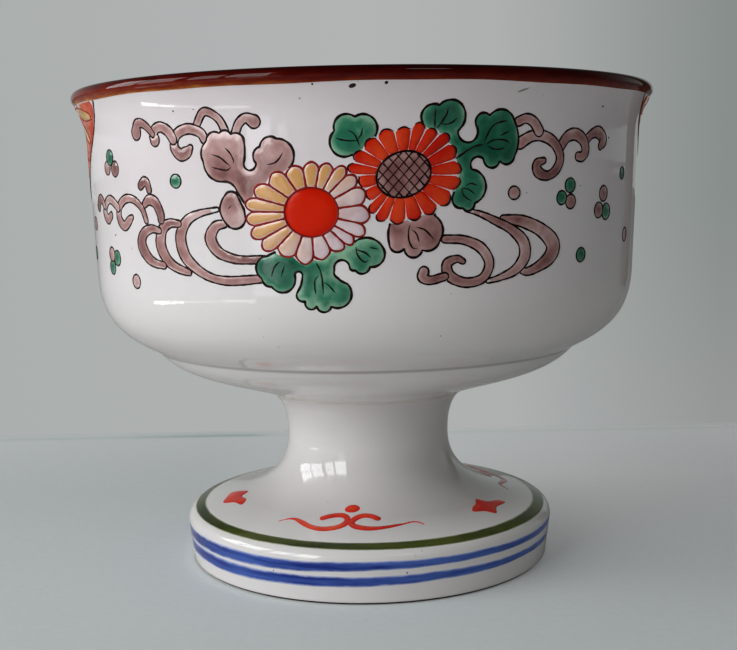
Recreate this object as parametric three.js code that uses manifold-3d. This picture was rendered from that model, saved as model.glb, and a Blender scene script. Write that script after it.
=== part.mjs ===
// A footed sake cup washing bowl in white glazed stoneware. The bowl and its hollow pedestal
// are thrown as two pieces and joined with slip, and raised enamels are fired on the glaze.
// Millimetres, +Z up, the painted front towards -Y. The origin is the middle of the foot ring,
// on the surface that the bowl stands on.
import * as THREE from 'three';
import { mergeVertices } from 'three/addons/utils/BufferGeometryUtils.js';
import Module from 'manifold-3d';

const wasm = await Module();
wasm.setup();

// Facets in one turn of every thrown form, and steps along each curve of a profile
const TURN_FACETS = 60;
const CURVE_STEPS = 5;
const LIP_STEPS = 4;

// Pedestal
const PEDESTAL_HEIGHT = 44.6;
const SEAT_RADIUS = 27;
const WAIST_RADIUS = 22;
const WAIST_HEIGHT = 33;
const FOOT_RADIUS = 49.8;
const FOOT_SIDE_HEIGHT = 10.4;
const FOOT_EDGE_ROUND = 1.8;
const FOOT_EDGE_RISE = 3;
const FOOT_TOP_RISE = 1.9;
const FOOT_TOP_WIDTH = 7;
const FOOT_TAPER = 1.2;
const FOOT_RING_WIDTH = 4.6;
const FOOT_RING_ROUND = 0.6;
const FOOT_WALL = 5.4;
const STEM_WALL = 5.5;
const STEM_ROOF = 6.5;

// The arched underside: how far its curve spreads from the hollow stem, and how it rises to it
const SHELF_INSET = 1.2;
const ARCH_SPREAD = 11;
const ARCH_RISE = 3;
const STEM_HOLLOW_DROP = 4;

// Slip that joins the bowl to the pedestal
const SLIP_THICKNESS = 0.6;
const SLIP_INSET = 0.4;

// Bowl, with heights counted from its seat on the slip
const BOWL_HEIGHT = 79.1;
const WALL_RADIUS = 72.2;
const LIP_OVERHANG = 3.7;
const LIP_ROUND = 1.7;
const LIP_FLARE_HEIGHT = 13;
const WALL_TAPER = 1.2;
const SHOULDER_HEIGHT = 33;
const RIDGE_INSET = 15.2;
const RIDGE_HEIGHT = 12.8;
const RIDGE_STEP = 1;
const WALL_THICKNESS = 3.8;
const FLOOR_THICKNESS = 7.5;

// Enamels: a thin fired layer that lies this far off the clay, all over
const ENAMEL_GAP = 0.05;
const ENAMEL_THICKNESS = 0.35;
const DISC_THICKNESS = 0.5;
const BAND_THICKNESS = 0.25;
const PAINT_CLEARANCE = 0.35;

// How far a cutting prism reaches in and out from the wall, as a share of the wall's radius
const PRISM_REACH = 0.4;

// Bands
const LIP_BAND_DROP = 3.8;
const OLIVE_LINE_INSET = 3.4;
const OLIVE_LINE_WIDTH = 2.4;
const BLUE_LINE_WIDTH = 2.5;
const BLUE_LINE_HEIGHTS = [5.9, 9.6];

// The painted spray is drawn in units round the wall and up from its middle
const SPRAY_DROP = 26.3;
const SPRAY_UNIT = 1;
const PETAL_SLIT = 0.5;
const PETAL_ROOT = 1.2;
const PETAL_TIP_STEPS = 3;
const FIELD_STEPS = 24;
const LOBE_STEPS = 4;
const BAND_STEPS = 2;

// Each flower: the middle and reach of its petals, the middle and reach of its disc
const FLOWERS = [
  {
    name: 'white', petals: 19, first: 1.52, middle: [-12.4, -3.9], reach: [13.5, 10.8],
    disc: [-11.3, -3.7, 5.8, 5.2], tilt: 0, colour: 0xe6cfd4, discColour: 0xd0401c,
  },
  {
    name: 'red', petals: 19, first: 0.07, middle: [8.8, 4], reach: [12.1, 10.6],
    disc: [8.4, 3.9, 5.8, 4.7], tilt: 0.35, colour: 0xc93c1c, discColour: 0x8d747b,
  },
];

// Each leaf goes clockwise from notch to notch, with how far its edge swells out to the next
const GREEN = 0x2f7f5f;
const PURPLE = 0x8f7072;
const LEAVES = {
  green_leaf_upper: [GREEN, [
    [-2.4, 8.1, 2.7], [-5.9, 13.1, 1.9], [-1.6, 15.9, 2.4], [2.5, 11.9, 0], [1, 8, 0],
  ]],
  green_leaves_right: [GREEN, [
    [13.3, 13.6, 2.4], [15.9, 18.1, 3.5], [20.7, 13.4, 0], [20.1, 12.8, -2.8], [24.5, 13.5, 1.8],
    [27.3, 16, 1.7], [33.3, 15.2, 1.1], [33.6, 7.4, 1.2], [29.9, 6.5, 1.7], [26, 6.9, -1.6],
    [23.3, 4.7, 3], [24, -2.4, 1.1], [21.3, -3.4, 1.3], [19.3, -0.2, 0], [17.5, 6, 0],
    [15.5, 11.5, 0],
  ]],
  green_leaves_lower: [GREEN, [
    [-2.2, -10.1, 1.9], [4.2, -12.4, 1.1], [1, -15.4, 1.1], [-2.1, -16.1, 0.2],
    [-3.3, -15.7, -2], [-6.6, -16, -0.4], [-5.9, -17.7, -0.2], [-3.9, -18.9, 2.6],
    [-7.5, -23.8, 1.3], [-10.7, -23.7, 1.3], [-13.1, -22.6, 0.9], [-14.9, -20.8, -0.3],
    [-13.6, -17.4, -1], [-15.3, -17, 2.5], [-20.6, -19.5, 0.6], [-22.8, -17.8, 1.9],
    [-21.5, -13, 0], [-15, -10, 0], [-6, -9.5, 0],
  ]],
  purple_leaves_left: [PURPLE, [
    [-27.8, 1, -0.6], [-30.8, 3.1, 1.5], [-35.9, 7.5, 0.9], [-34.9, 11.7, 1.1],
    [-31.5, 13.3, 0.8], [-28.7, 13, 0.7], [-25.7, 12.1, 0.3], [-25.9, 6.8, -1.5],
    [-23, 6.8, 1.1], [-22, 10.2, 1.2], [-18.3, 11.8, 2], [-15.2, 6.2, 0],
    [-18, 3, 0], [-23, 0.5, 0], [-25.5, -2.5, 0],
  ]],
  purple_leaf_round: [PURPLE, [
    [-30, -6.7, 0.4], [-32.3, -3, 0.4], [-30.2, 0.7, 0.3], [-28, 0.5, 0], [-26.3, -3, 0],
    [-26, -5, 1.1],
  ]],
  purple_leaf_right: [PURPLE, [
    [15.2, -5, 1.1], [16.2, -10.1, 1], [12.3, -12.1, 1.8], [8.4, -11.6, 1.3],
    [5.2, -10.6, 0.45], [5.8, -5.4, 0], [9, -3, 0], [14, -3, 0],
  ]],
};

// Flowing water: bands of changing width, through places given with their width
const WATER = {
  water_upper_left: [
    [[-56.3, 14.5, 3.5], [-55.5, 16.3, 2.2], [-53.7, 16.4, 1.9], [-52, 15.4, 1.7], [-50.4, 13.8, 1.4]],
    [
      [-49.8, 12.6, 3], [-50.2, 14, 2.6], [-49.2, 15, 2.2], [-47.4, 15.3, 2.2],
      [-45.3, 14.2, 2.4], [-44, 12.4, 2.2],
    ],
    [
      [-35.3, 12.2, 2], [-36.4, 13.7, 2.1], [-39.6, 14.6, 2.2], [-42.9, 13.5, 2.3],
      [-43.8, 10.9, 2.3], [-42.1, 9.1, 2.6], [-40.2, 9.6, 2.6], [-39.2, 10.5, 1.4],
    ],
    [[-37.3, 15, 1.7], [-35.4, 17.6, 1.7], [-33.7, 17.9, 1.7], [-31.3, 16.3, 1.7], [-30, 13.8, 1.8]],
  ],
  water_hook_left: [
    [[-27.6, 13.2, 1.9], [-26.6, 15.2, 1.9], [-24.9, 16.3, 2], [-23.1, 15.5, 2.9]],
  ],
  water_curl_left: [
    [[-52.9, 1.5, 1.7], [-53.5, 3.1, 1.9], [-54.7, 3.5, 2.1], [-56, 2.6, 2]],
  ],
  water_middle_left: [
    [[-80.8, -2.1, 2.6], [-79.5, -0.6, 2.3], [-77.7, -0.5, 2], [-75.5, -2.2, 1.6]],
    [
      [-67, -2.5, 2], [-69.6, -1, 2], [-72.1, -0.5, 2], [-74.4, -1.6, 2.1],
      [-75.6, -3.6, 2.6], [-73.8, -5.2, 2.3], [-71.4, -4.3, 1.8],
    ],
    [
      [-54.7, -5.4, 1.4], [-56.2, -2.5, 1.6], [-59.6, -0.5, 1.7], [-63.3, -0.5, 2],
      [-66.4, -2.4, 2.3], [-66.6, -5.1, 2.4], [-64.3, -6.7, 2.2], [-61.9, -5.4, 2.2],
      [-60.5, -4.6, 1.2],
    ],
    [[-55.6, -2.1, 1.4], [-53.4, -0.7, 2.3], [-51, -1.3, 2.5], [-49.5, -3.8, 2.3], [-49.4, -5.1, 2]],
  ],
  water_arcs_left: [
    [
      [-50.2, -7.6, 1.4], [-53.2, -7.2, 1.9], [-56.1, -8.4, 2.6], [-57.1, -10.9, 3.3],
      [-55, -13.7, 2.7], [-52.3, -15, 1.9], [-49.4, -15.4, 1.6],
    ],
    [
      [-43.8, -6, 1.5], [-46.7, -5.9, 2], [-49.2, -7.4, 2.8], [-50.1, -10.6, 3.2],
      [-48.6, -13.6, 2.8], [-46.2, -15.4, 2.2], [-43.3, -16.4, 1.8], [-41.6, -16.8, 1.4],
    ],
    [
      [-33, -2.9, 1], [-37.5, -3.7, 1.5], [-41.3, -5.3, 2.3], [-43.5, -8.8, 3],
      [-42.6, -12.9, 3], [-39.5, -15.8, 2.3], [-35.3, -17.8, 1.8], [-31, -18.4, 1.9],
      [-27, -18.2, 1.9], [-22.6, -17.8, 1.7],
    ],
  ],
  water_inner_left: [
    [
      [-31.3, -6, 1.6], [-33.6, -6.6, 2.2], [-35.1, -9.2, 2.9], [-33.2, -12.1, 2.4],
      [-29.6, -13.5, 1.9], [-26.3, -13.8, 1.7], [-22, -13.6, 1.6],
    ],
  ],
  water_upper_right: [
    [[34.4, 14.8, 2], [36.5, 15.5, 2], [38.6, 14.7, 2.3], [40, 12.9, 2.6]],
    [
      [34.9, 10.2, 2.6], [38, 11.7, 2.3], [41.3, 11.8, 2.4], [44.6, 10.3, 2.4],
      [46.5, 7.3, 2.3], [45.4, 4.6, 2.2], [42.8, 3.2, 1.9], [40.1, 4, 2.5],
      [39.7, 5.8, 2.1], [41.6, 6.5, 1.3],
    ],
    [
      [46, 8.8, 2.2], [48.5, 11.6, 2.4], [51.6, 12.3, 2.7], [54.4, 10.9, 2.8],
      [55.2, 8.7, 2.6], [54, 7.4, 2.2], [52.5, 7.4, 2],
    ],
    [[54.9, 10.6, 2.1], [57.4, 12.4, 2], [60.3, 12.9, 2.8], [62.5, 11.3, 3.2], [61.3, 9.8, 1.8]],
  ],
  water_spiral_right: [
    [[12.6, -16.7, 2.2], [12.4, -17.9, 2.2], [14, -18.6, 1.8], [17.3, -17.9, 1.7]],
    [
      [17.3, -9.9, 1.7], [21.5, -10.2, 1.8], [25.6, -12, 2.2], [27.7, -15.4, 2.2],
      [26.1, -18.6, 2], [22, -19.4, 2], [18.4, -17.8, 2.3], [17.8, -15.2, 2.1],
      [20, -14.2, 1.5], [21.4, -14.8, 1.2],
    ],
  ],
  water_arcs_right: [
    [
      [22, -3.8, 0.6], [25.3, -4.7, 1.1], [28.8, -6.2, 1.6], [33, -8.2, 2], [36.3, -11, 2.8],
      [36.8, -14.3, 2.9], [34.4, -17.1, 2.2], [30.6, -18.6, 1.4], [27.4, -19.3, 0.9],
    ],
    [
      [31, -5.9, 1.6], [36, -6.6, 2.5], [41.5, -8.8, 3], [45, -11.9, 4], [44.2, -14.6, 3.5],
      [41, -16.6, 2.4], [37.6, -17.7, 1.7], [35.4, -17, 1.2],
    ],
  ],
};

// Two cloth-shaped panels that hang from the lip, a quarter turn either side of the spray
const SPRAY_AZIMUTH = 0.08;
const PANEL_HALF_WIDTH = 35.5;
const PANEL_DROP = 30;
const PANEL_TIP_ROUND = 3;

const at = (radius, height) => new THREE.Vector2(radius, height);
const lipRadius = WALL_RADIUS + LIP_OVERHANG;
const ridgeRadius = WALL_RADIUS - RIDGE_INSET;
const paintRadius = WALL_RADIUS - WALL_TAPER / 2;

// Profiles

function bend(start, first, second, end, steps = CURVE_STEPS) {
  return new THREE.CubicBezierCurve(start, first, second, end).getPoints(steps);
}

function arc(centre, radius, fromAngle, toAngle, steps) {
  const clockwise = toAngle < fromAngle;
  const curve = new THREE.EllipseCurve(
    centre.x, centre.y, radius, radius, fromAngle, toAngle, clockwise,
  );
  return curve.getPoints(steps);
}

function joined(...runs) {
  const points = [];
  for (const point of runs.flat()) {
    const last = points.at(-1);
    if (!last || last.distanceTo(point) > 1e-4) {
      points.push(point);
    }
  }
  return points;
}

// The outside of the bowl, from its seat up to the lip: a round bottom, a crisp ridge,
// the shoulder, a wall that is nearly upright and a flare
function bowlOutside() {
  const ridge = at(ridgeRadius, RIDGE_HEIGHT);
  const bottomStart = at(SEAT_RADIUS + SLIP_INSET, 0);
  const bottomEnd = at(ridgeRadius - RIDGE_STEP, RIDGE_HEIGHT - RIDGE_STEP * 0.8);
  const width = bottomEnd.x - bottomStart.x;
  const bottom = bend(
    bottomStart,
    at(bottomStart.x + width * 0.5, bottomEnd.y * 0.42),
    at(bottomStart.x + width * 0.8, bottomEnd.y * 0.45),
    bottomEnd,
  );
  const shoulderRadius = WALL_RADIUS - WALL_TAPER;
  const rise = SHOULDER_HEIGHT - RIDGE_HEIGHT;
  const shoulder = bend(
    ridge,
    at(ridgeRadius + (shoulderRadius - ridgeRadius) * 0.68, RIDGE_HEIGHT + rise * 0.225),
    at(shoulderRadius - 0.4, RIDGE_HEIGHT + rise * 0.45),
    at(shoulderRadius, SHOULDER_HEIGHT),
    CURVE_STEPS + 1,
  );
  const flareBottom = at(WALL_RADIUS, BOWL_HEIGHT - LIP_FLARE_HEIGHT);
  const lip = lipRound();
  const flare = bend(
    flareBottom,
    at(WALL_RADIUS + 0.15, BOWL_HEIGHT - LIP_FLARE_HEIGHT * 0.65),
    at(lip[0].x - 1.75, lip[0].y - 2.3),
    lip[0],
    CURVE_STEPS - 1,
  );
  return joined(bottom, shoulder, flare);
}

function lipRound() {
  const centre = at(lipRadius - LIP_ROUND, BOWL_HEIGHT - LIP_ROUND);
  return arc(centre, LIP_ROUND, -Math.PI / 6, Math.PI * 0.92, LIP_STEPS);
}

// The inside of the bowl, from the lip down to the middle of the floor
function bowlInside() {
  const lipEnd = lipRound().at(-1);
  const wallTop = at(WALL_RADIUS - WALL_THICKNESS, BOWL_HEIGHT - LIP_FLARE_HEIGHT * 1.15);
  const flare = bend(
    lipEnd,
    at(lipEnd.x - 1.6, lipEnd.y - LIP_FLARE_HEIGHT * 0.3),
    at(wallTop.x + 0.3, wallTop.y + LIP_FLARE_HEIGHT * 0.45),
    wallTop,
    CURVE_STEPS - 2,
  );
  const cornerTop = at(WALL_RADIUS - WALL_TAPER - WALL_THICKNESS, SHOULDER_HEIGHT + 2);
  const corner = bend(
    cornerTop,
    at(cornerTop.x - 0.7, FLOOR_THICKNESS + (cornerTop.y - FLOOR_THICKNESS) / 3),
    at(cornerTop.x * 0.67, FLOOR_THICKNESS),
    at(0, FLOOR_THICKNESS),
    CURVE_STEPS + 2,
  );
  return joined(flare, corner);
}

function bowlProfile() {
  return joined([at(0, 0)], bowlOutside(), lipRound(), bowlInside());
}

// The outside of the pedestal, from the ground up to its seat: the foot's side, its rounded
// edge, its sloping top and the waisted stem
function pedestalOutside() {
  const base = at(FOOT_RADIUS - FOOT_TAPER, FOOT_RING_ROUND);
  const side = at(FOOT_RADIUS, FOOT_SIDE_HEIGHT);
  const edgeTop = at(FOOT_RADIUS - FOOT_EDGE_ROUND, FOOT_SIDE_HEIGHT + FOOT_EDGE_RISE);
  const edge = bend(
    side,
    at(side.x, side.y + FOOT_EDGE_RISE * 0.6),
    at(edgeTop.x + FOOT_EDGE_ROUND * 0.45, edgeTop.y - FOOT_EDGE_RISE * 0.15),
    edgeTop,
    CURVE_STEPS - 2,
  );
  const flareStart = at(edgeTop.x - FOOT_TOP_WIDTH, edgeTop.y + FOOT_TOP_RISE);
  const waist = at(WAIST_RADIUS, WAIST_HEIGHT);
  const flare = bend(
    flareStart,
    at(WAIST_RADIUS + (flareStart.x - WAIST_RADIUS) * 0.26, flareStart.y + 3.5),
    at(WAIST_RADIUS, flareStart.y + (WAIST_HEIGHT - flareStart.y) / 2),
    waist,
    CURVE_STEPS + 1,
  );
  const seat = at(SEAT_RADIUS, PEDESTAL_HEIGHT);
  const neck = bend(
    waist,
    at(WAIST_RADIUS, WAIST_HEIGHT + (PEDESTAL_HEIGHT - WAIST_HEIGHT) * 0.47),
    at(WAIST_RADIUS + (SEAT_RADIUS - WAIST_RADIUS) * 0.24, PEDESTAL_HEIGHT - 2.6),
    seat,
  );
  return joined([base, side], edge, flare, neck);
}

// The underside of the pedestal, from its bearing ring up to the roof of the hollow stem
function pedestalInside() {
  const ringInner = at(FOOT_RADIUS - FOOT_TAPER - FOOT_RING_WIDTH, 0);
  const hollowRadius = WAIST_RADIUS - STEM_WALL;
  const roof = PEDESTAL_HEIGHT - STEM_ROOF;
  const shelf = at(ringInner.x - SHELF_INSET, FOOT_SIDE_HEIGHT + FOOT_EDGE_RISE - FOOT_WALL);
  const underside = bend(
    shelf,
    at(hollowRadius + ARCH_SPREAD, shelf.y + ARCH_RISE),
    at(hollowRadius, shelf.y + ARCH_RISE * 2),
    at(hollowRadius, WAIST_HEIGHT - STEM_HOLLOW_DROP),
  );
  const dome = bend(
    underside.at(-1),
    at(hollowRadius, roof - 2),
    at(hollowRadius * 0.6, roof),
    at(0, roof),
    CURVE_STEPS - 1,
  );
  return joined([ringInner, shelf], underside, dome);
}

function pedestalProfile() {
  const ringOuter = at(FOOT_RADIUS - FOOT_TAPER - FOOT_RING_ROUND, 0);
  const inside = pedestalInside().reverse();
  return joined(inside, [ringOuter], pedestalOutside(), [at(0, PEDESTAL_HEIGHT)]);
}

// The part of a profile between two heights, with its ends cut to those heights
function between(profile, low, high) {
  const points = [];
  for (let index = 1; index < profile.length; index += 1) {
    const from = profile[index - 1];
    const to = profile[index];
    const cuts = [low, high].map((height) => (height - from.y) / (to.y - from.y));
    const inside = (point) => point.y >= low && point.y <= high;
    const crossings = cuts.filter((share) => share > 0 && share < 1).sort((a, b) => a - b);
    const run = crossings.map((share) => from.clone().lerp(to, share));
    points.push(...[from, ...run, to].filter(inside));
  }
  return joined(points);
}

// The profile moved outward by a distance, square to its surface
function offset(profile, distance) {
  return profile.map((point, index) => {
    const before = profile[Math.max(index - 1, 0)];
    const after = profile[Math.min(index + 1, profile.length - 1)];
    const into = point.clone().sub(before).normalize();
    const away = after.clone().sub(point).normalize();
    const along = into.lengthSq() > 0 ? into : away;
    const next = away.lengthSq() > 0 ? away : into;
    const normal = at(along.y + next.y, -along.x - next.x).normalize();
    const miter = normal.x * along.y - normal.y * along.x;
    return point.clone().addScaledVector(normal, distance / miter);
  });
}

// Solids

function revolve(profile) {
  const geometry = new THREE.LatheGeometry(profile, TURN_FACETS);
  geometry.rotateX(Math.PI / 2);
  return toManifold(geometry);
}

function toManifold(geometry) {
  geometry.deleteAttribute('normal');
  geometry.deleteAttribute('uv');
  const merged = mergeVertices(geometry, 1e-4);
  const index = merged.index.array;
  const triangles = [];
  for (let corner = 0; corner < index.length; corner += 3) {
    const [a, b, c] = index.slice(corner, corner + 3);
    if (a !== b && b !== c && c !== a) {
      triangles.push(a, b, c);
    }
  }
  const vertices = merged.attributes.position.array;
  if (signedVolume(vertices, triangles) < 0) {
    triangles.reverse();
  }
  const mesh = new wasm.Mesh({
    numProp: 3,
    vertProperties: Float32Array.from(vertices),
    triVerts: Uint32Array.from(triangles),
  });
  return new wasm.Manifold(mesh);
}

function signedVolume(vertices, triangles) {
  const corner = (index) => new THREE.Vector3().fromArray(vertices, index * 3);
  let volume = 0;
  for (let start = 0; start < triangles.length; start += 3) {
    const [a, b, c] = triangles.slice(start, start + 3).map(corner);
    volume += a.dot(b.cross(c)) / 6;
  }
  return volume;
}

// A thin ring of enamel over part of a profile
function skin(profile, thickness) {
  const under = offset(profile, ENAMEL_GAP);
  const over = offset(profile, ENAMEL_GAP + thickness);
  return revolve([...under, ...over.reverse(), under[0]]);
}

// A prism that cuts the wall square to its middle, with an outline measured round the wall and up
function prism(outline, hole = []) {
  const reach = outline.map((point) => point.x);
  const azimuth = (Math.min(...reach) + Math.max(...reach)) / 2 / paintRadius;
  const flat = (point) => at(Math.sin(point.x / paintRadius - azimuth) * paintRadius, point.y);
  const shape = new THREE.Shape(outline.map(flat));
  if (hole.length > 0) {
    shape.holes.push(new THREE.Path(hole.map(flat)));
  }
  const depth = WALL_RADIUS * PRISM_REACH * 2;
  const geometry = new THREE.ExtrudeGeometry(shape, { depth, bevelEnabled: false });
  geometry.translate(0, 0, WALL_RADIUS * (1 - PRISM_REACH));
  geometry.rotateX(Math.PI / 2);
  geometry.rotateZ(azimuth);
  return toManifold(geometry);
}

function mesh(name, solid, colour, roughness) {
  const { numProp, vertProperties, triVerts } = solid.getMesh();
  const geometry = new THREE.BufferGeometry();
  geometry.setAttribute('position', new THREE.BufferAttribute(vertProperties, numProp));
  geometry.setIndex(new THREE.BufferAttribute(triVerts, 1));
  geometry.computeVertexNormals();
  const material = new THREE.MeshStandardMaterial({ color: colour, roughness, metalness: 0 });
  const result = new THREE.Mesh(geometry, material);
  result.name = name;
  return result;
}

// Outlines

// A place in the spray, as arc length round the wall and height over the bowl's seat
function sprayPlace(x, y) {
  return at(x, y).multiplyScalar(SPRAY_UNIT).add(at(0, BOWL_HEIGHT - SPRAY_DROP));
}

// Points on an ellipse, or on a figure that stays inside it, given by angle and share of reach
function polar(middle, reach, tilt, directions) {
  return directions.map(([angle, share]) => {
    const point = at(reach[0] * share * Math.cos(angle), reach[1] * share * Math.sin(angle));
    return point.rotateAround(at(0, 0), tilt).add(middle);
  });
}

function ellipse(middle, reach, tilt, clearance) {
  const angles = Array.from({ length: FIELD_STEPS }, (_, step) => step / FIELD_STEPS * Math.PI * 2);
  return polar(middle, widened(reach, clearance), tilt, angles.map((angle) => [angle, 1]));
}

function widened(reach, clearance) {
  return reach.map((length) => length * SPRAY_UNIT + clearance);
}

// Round-tipped petals, parted by slits that stop short of the disc
function petalOutline(kind, middle, discMiddle) {
  const reach = widened(kind.reach, 0);
  const root = widened(kind.disc.slice(2), PETAL_ROOT);
  const turn = Math.PI * 2 / kind.petals;
  const tipSteps = Array.from({ length: PETAL_TIP_STEPS + 1 }, (_, step) => step * 2 / PETAL_TIP_STEPS - 1);
  const outline = [];
  for (let petal = 0; petal < kind.petals; petal += 1) {
    const axis = kind.first + petal * turn;
    const rootSwing = (turn - PETAL_SLIT / root[0]) / 2;
    const tipSwing = (turn - PETAL_SLIT / reach[0]) / 2;
    const tip = tipSteps.map((swing) => [axis + swing * tipSwing, 1 - 0.14 * swing ** 2]);
    outline.push(
      ...polar(discMiddle, root, 0, [[axis - rootSwing, 1]]),
      ...polar(middle, reach, 0, tip),
      ...polar(discMiddle, root, 0, [[axis + rootSwing, 1]]),
    );
  }
  return outline;
}

// A leaf's edge: an arc from each notch to the next, swelling out or drawn in
function leafOutline(notches) {
  return notches.flatMap(([x, y, swell], order) => {
    const [nextX, nextY] = notches[(order + 1) % notches.length];
    const from = sprayPlace(x, y);
    const to = sprayPlace(nextX, nextY);
    if (swell === 0) {
      return [from];
    }
    const half = to.clone().sub(from).multiplyScalar(0.5);
    const sweep = 2 * Math.atan(swell * SPRAY_UNIT / half.length());
    const radius = half.length() / Math.sin(sweep);
    const outward = at(-half.y, half.x).normalize();
    const centre = from.clone().add(half).addScaledVector(outward, -radius * Math.cos(sweep));
    return Array.from({ length: LOBE_STEPS }, (_, step) => (
      from.clone().rotateAround(centre, -2 * sweep * step / LOBE_STEPS)
    ));
  });
}

// A closed outline moved outward by a distance
function grown(outline, distance) {
  const turned = THREE.ShapeUtils.isClockWise(outline) ? 1 : -1;
  return outline.map((point, index) => {
    const before = outline.at(index - 1);
    const after = outline[(index + 1) % outline.length];
    const along = after.clone().sub(before).normalize();
    return point.clone().addScaledVector(at(-along.y, along.x), distance * turned);
  });
}

// The edge of a band of changing width, with rounded ends
function bandOutline(places) {
  const line = new THREE.SplineCurve(places.map(([x, y]) => sprayPlace(x, y)));
  const widths = new THREE.SplineCurve(places.map(([, , width], order) => at(order, width)));
  const steps = (places.length - 1) * BAND_STEPS;
  const left = [];
  const right = [];
  for (let step = 0; step <= steps; step += 1) {
    const share = step / steps;
    const point = line.getPoint(share);
    const along = line.getTangent(share);
    const half = widths.getPoint(share).y * SPRAY_UNIT / 2;
    left.push(point.clone().addScaledVector(at(-along.y, along.x), half));
    right.push(point.clone().addScaledVector(at(along.y, -along.x), half));
  }
  const tips = [[0, places[0]], [1, places.at(-1)]].map(([share, [, , width]]) => (
    line.getPoint(share).addScaledVector(line.getTangent(share), width * (share - 0.5) * SPRAY_UNIT)
  ));
  return [tips[0], ...left, tips[1], ...right.reverse()];
}

// Half of a square cloth hung by its middle, with its corner pointing down
function panelOutline(centre, top) {
  const slope = at(PANEL_HALF_WIDTH, PANEL_DROP).normalize();
  const run = at(slope.x, slope.y).multiplyScalar(PANEL_TIP_ROUND);
  const tip = at(centre, top - PANEL_DROP);
  const round = new THREE.QuadraticBezierCurve(
    at(tip.x - run.x, tip.y + run.y), tip, at(tip.x + run.x, tip.y + run.y),
  );
  return [
    at(centre - PANEL_HALF_WIDTH, top),
    ...round.getPoints(CURVE_STEPS),
    at(centre + PANEL_HALF_WIDTH, top),
  ];
}

// Sub-parts

function pedestal() {
  const group = new THREE.Group();
  const outside = pedestalOutside();
  group.add(mesh('pedestal_foot', revolve(pedestalProfile()), 0xe4e2e0, 0.25));
  BLUE_LINE_HEIGHTS.forEach((height, order) => {
    const half = BLUE_LINE_WIDTH / 2;
    const line = skin(between(outside, height - half, height + half), BAND_THICKNESS);
    group.add(mesh(['lower_blue_line', 'upper_blue_line'][order], line, 0x3d56b0, 0.25));
  });
  const oliveRadius = FOOT_RADIUS - OLIVE_LINE_INSET;
  const inner = heightAt(outside, oliveRadius - OLIVE_LINE_WIDTH / 2);
  const outer = heightAt(outside, oliveRadius + OLIVE_LINE_WIDTH / 2);
  const olive = skin(between(outside, outer, inner), BAND_THICKNESS);
  group.add(mesh('olive_line', olive, 0x5d7434, 0.3));
  return group;
}

// The height of the foot's top at a radius
function heightAt(profile, radius) {
  for (let index = 1; index < profile.length; index += 1) {
    const from = profile[index - 1];
    const to = profile[index];
    if (from.x >= radius && to.x < radius) {
      return from.y + (to.y - from.y) * (radius - from.x) / (to.x - from.x);
    }
  }
  return 0;
}

function slipJoint() {
  const radius = SEAT_RADIUS - SLIP_INSET;
  const profile = [
    at(0, 0), at(radius, 0), at(radius, SLIP_THICKNESS), at(0, SLIP_THICKNESS),
  ];
  return mesh('slip_joint', revolve(profile), 0xd9d3c8, 0.7);
}

// A chrysanthemum: its disc, its ring of petals, and the field that it keeps clear of other paint
function flower(kind, wallSkin, discSkin, kept) {
  const middle = sprayPlace(...kind.middle);
  const [discX, discY, ...discReach] = kind.disc;
  const discMiddle = sprayPlace(discX, discY);
  const disc = prism(ellipse(discMiddle, discReach, kind.tilt, 0)).intersect(discSkin);
  const hole = ellipse(discMiddle, discReach, kind.tilt, PAINT_CLEARANCE);
  const petals = prism(petalOutline(kind, middle, discMiddle), hole).subtract(kept);
  return {
    field: prism(ellipse(middle, kind.reach, 0, PAINT_CLEARANCE)),
    meshes: [
      mesh(`${kind.name}_chrysanthemum_petals`, petals.intersect(wallSkin), kind.colour, 0.3),
      mesh(`${kind.name}_chrysanthemum_disc`, disc, kind.discColour, 0.3),
    ],
  };
}

// The spray, painted from front to back: each motif stays clear of those before it
function spray(wallSkin, discSkin, panels) {
  const meshes = [];
  let kept = panels[0].add(panels[1]);
  for (const kind of FLOWERS) {
    const painted = flower(kind, wallSkin, discSkin, kept);
    kept = kept.add(painted.field);
    meshes.push(...painted.meshes);
  }
  for (const [name, [colour, notches]] of Object.entries(LEAVES)) {
    const outline = leafOutline(notches);
    const leaf = prism(outline).subtract(kept).intersect(wallSkin);
    kept = kept.add(prism(grown(outline, PAINT_CLEARANCE)));
    meshes.push(mesh(name, leaf, colour, 0.3));
  }
  for (const [name, bands] of Object.entries(WATER)) {
    const outlines = bands.map(bandOutline);
    const joinedUp = outlines.map((outline) => prism(outline)).reduce((sum, next) => sum.add(next));
    meshes.push(mesh(name, joinedUp.subtract(kept).intersect(wallSkin), PURPLE, 0.3));
    kept = outlines.reduce((sum, outline) => sum.add(prism(grown(outline, PAINT_CLEARANCE))), kept);
  }
  return meshes;
}

function panelPrisms(top) {
  return [-0.5, 0.5].map((halfTurns) => {
    const azimuth = SPRAY_AZIMUTH + halfTurns * Math.PI;
    return prism(panelOutline(azimuth * paintRadius, top));
  });
}

function bowl() {
  const group = new THREE.Group();
  const outside = bowlOutside();
  const bandBottom = BOWL_HEIGHT - LIP_BAND_DROP;
  const paintTop = bandBottom - PAINT_CLEARANCE;
  const wall = between(outside, RIDGE_HEIGHT + 1, paintTop);
  const wallSkin = skin(wall, ENAMEL_THICKNESS);
  const discSkin = skin(wall, DISC_THICKNESS);
  group.add(mesh('bowl', revolve(bowlProfile()), 0xe4e2e0, 0.25));
  const lip = between(joined(outside, lipRound(), bowlInside()), bandBottom, Infinity);
  group.add(mesh('lip_band', skin(lip, BAND_THICKNESS), 0x6a1c10, 0.2));
  const panels = panelPrisms(paintTop);
  group.add(...spray(wallSkin, discSkin, panels));
  ['left_panel', 'right_panel'].forEach((name, order) => {
    group.add(mesh(name, panels[order].intersect(wallSkin), 0xc2502c, 0.3));
  });
  return group;
}

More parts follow.
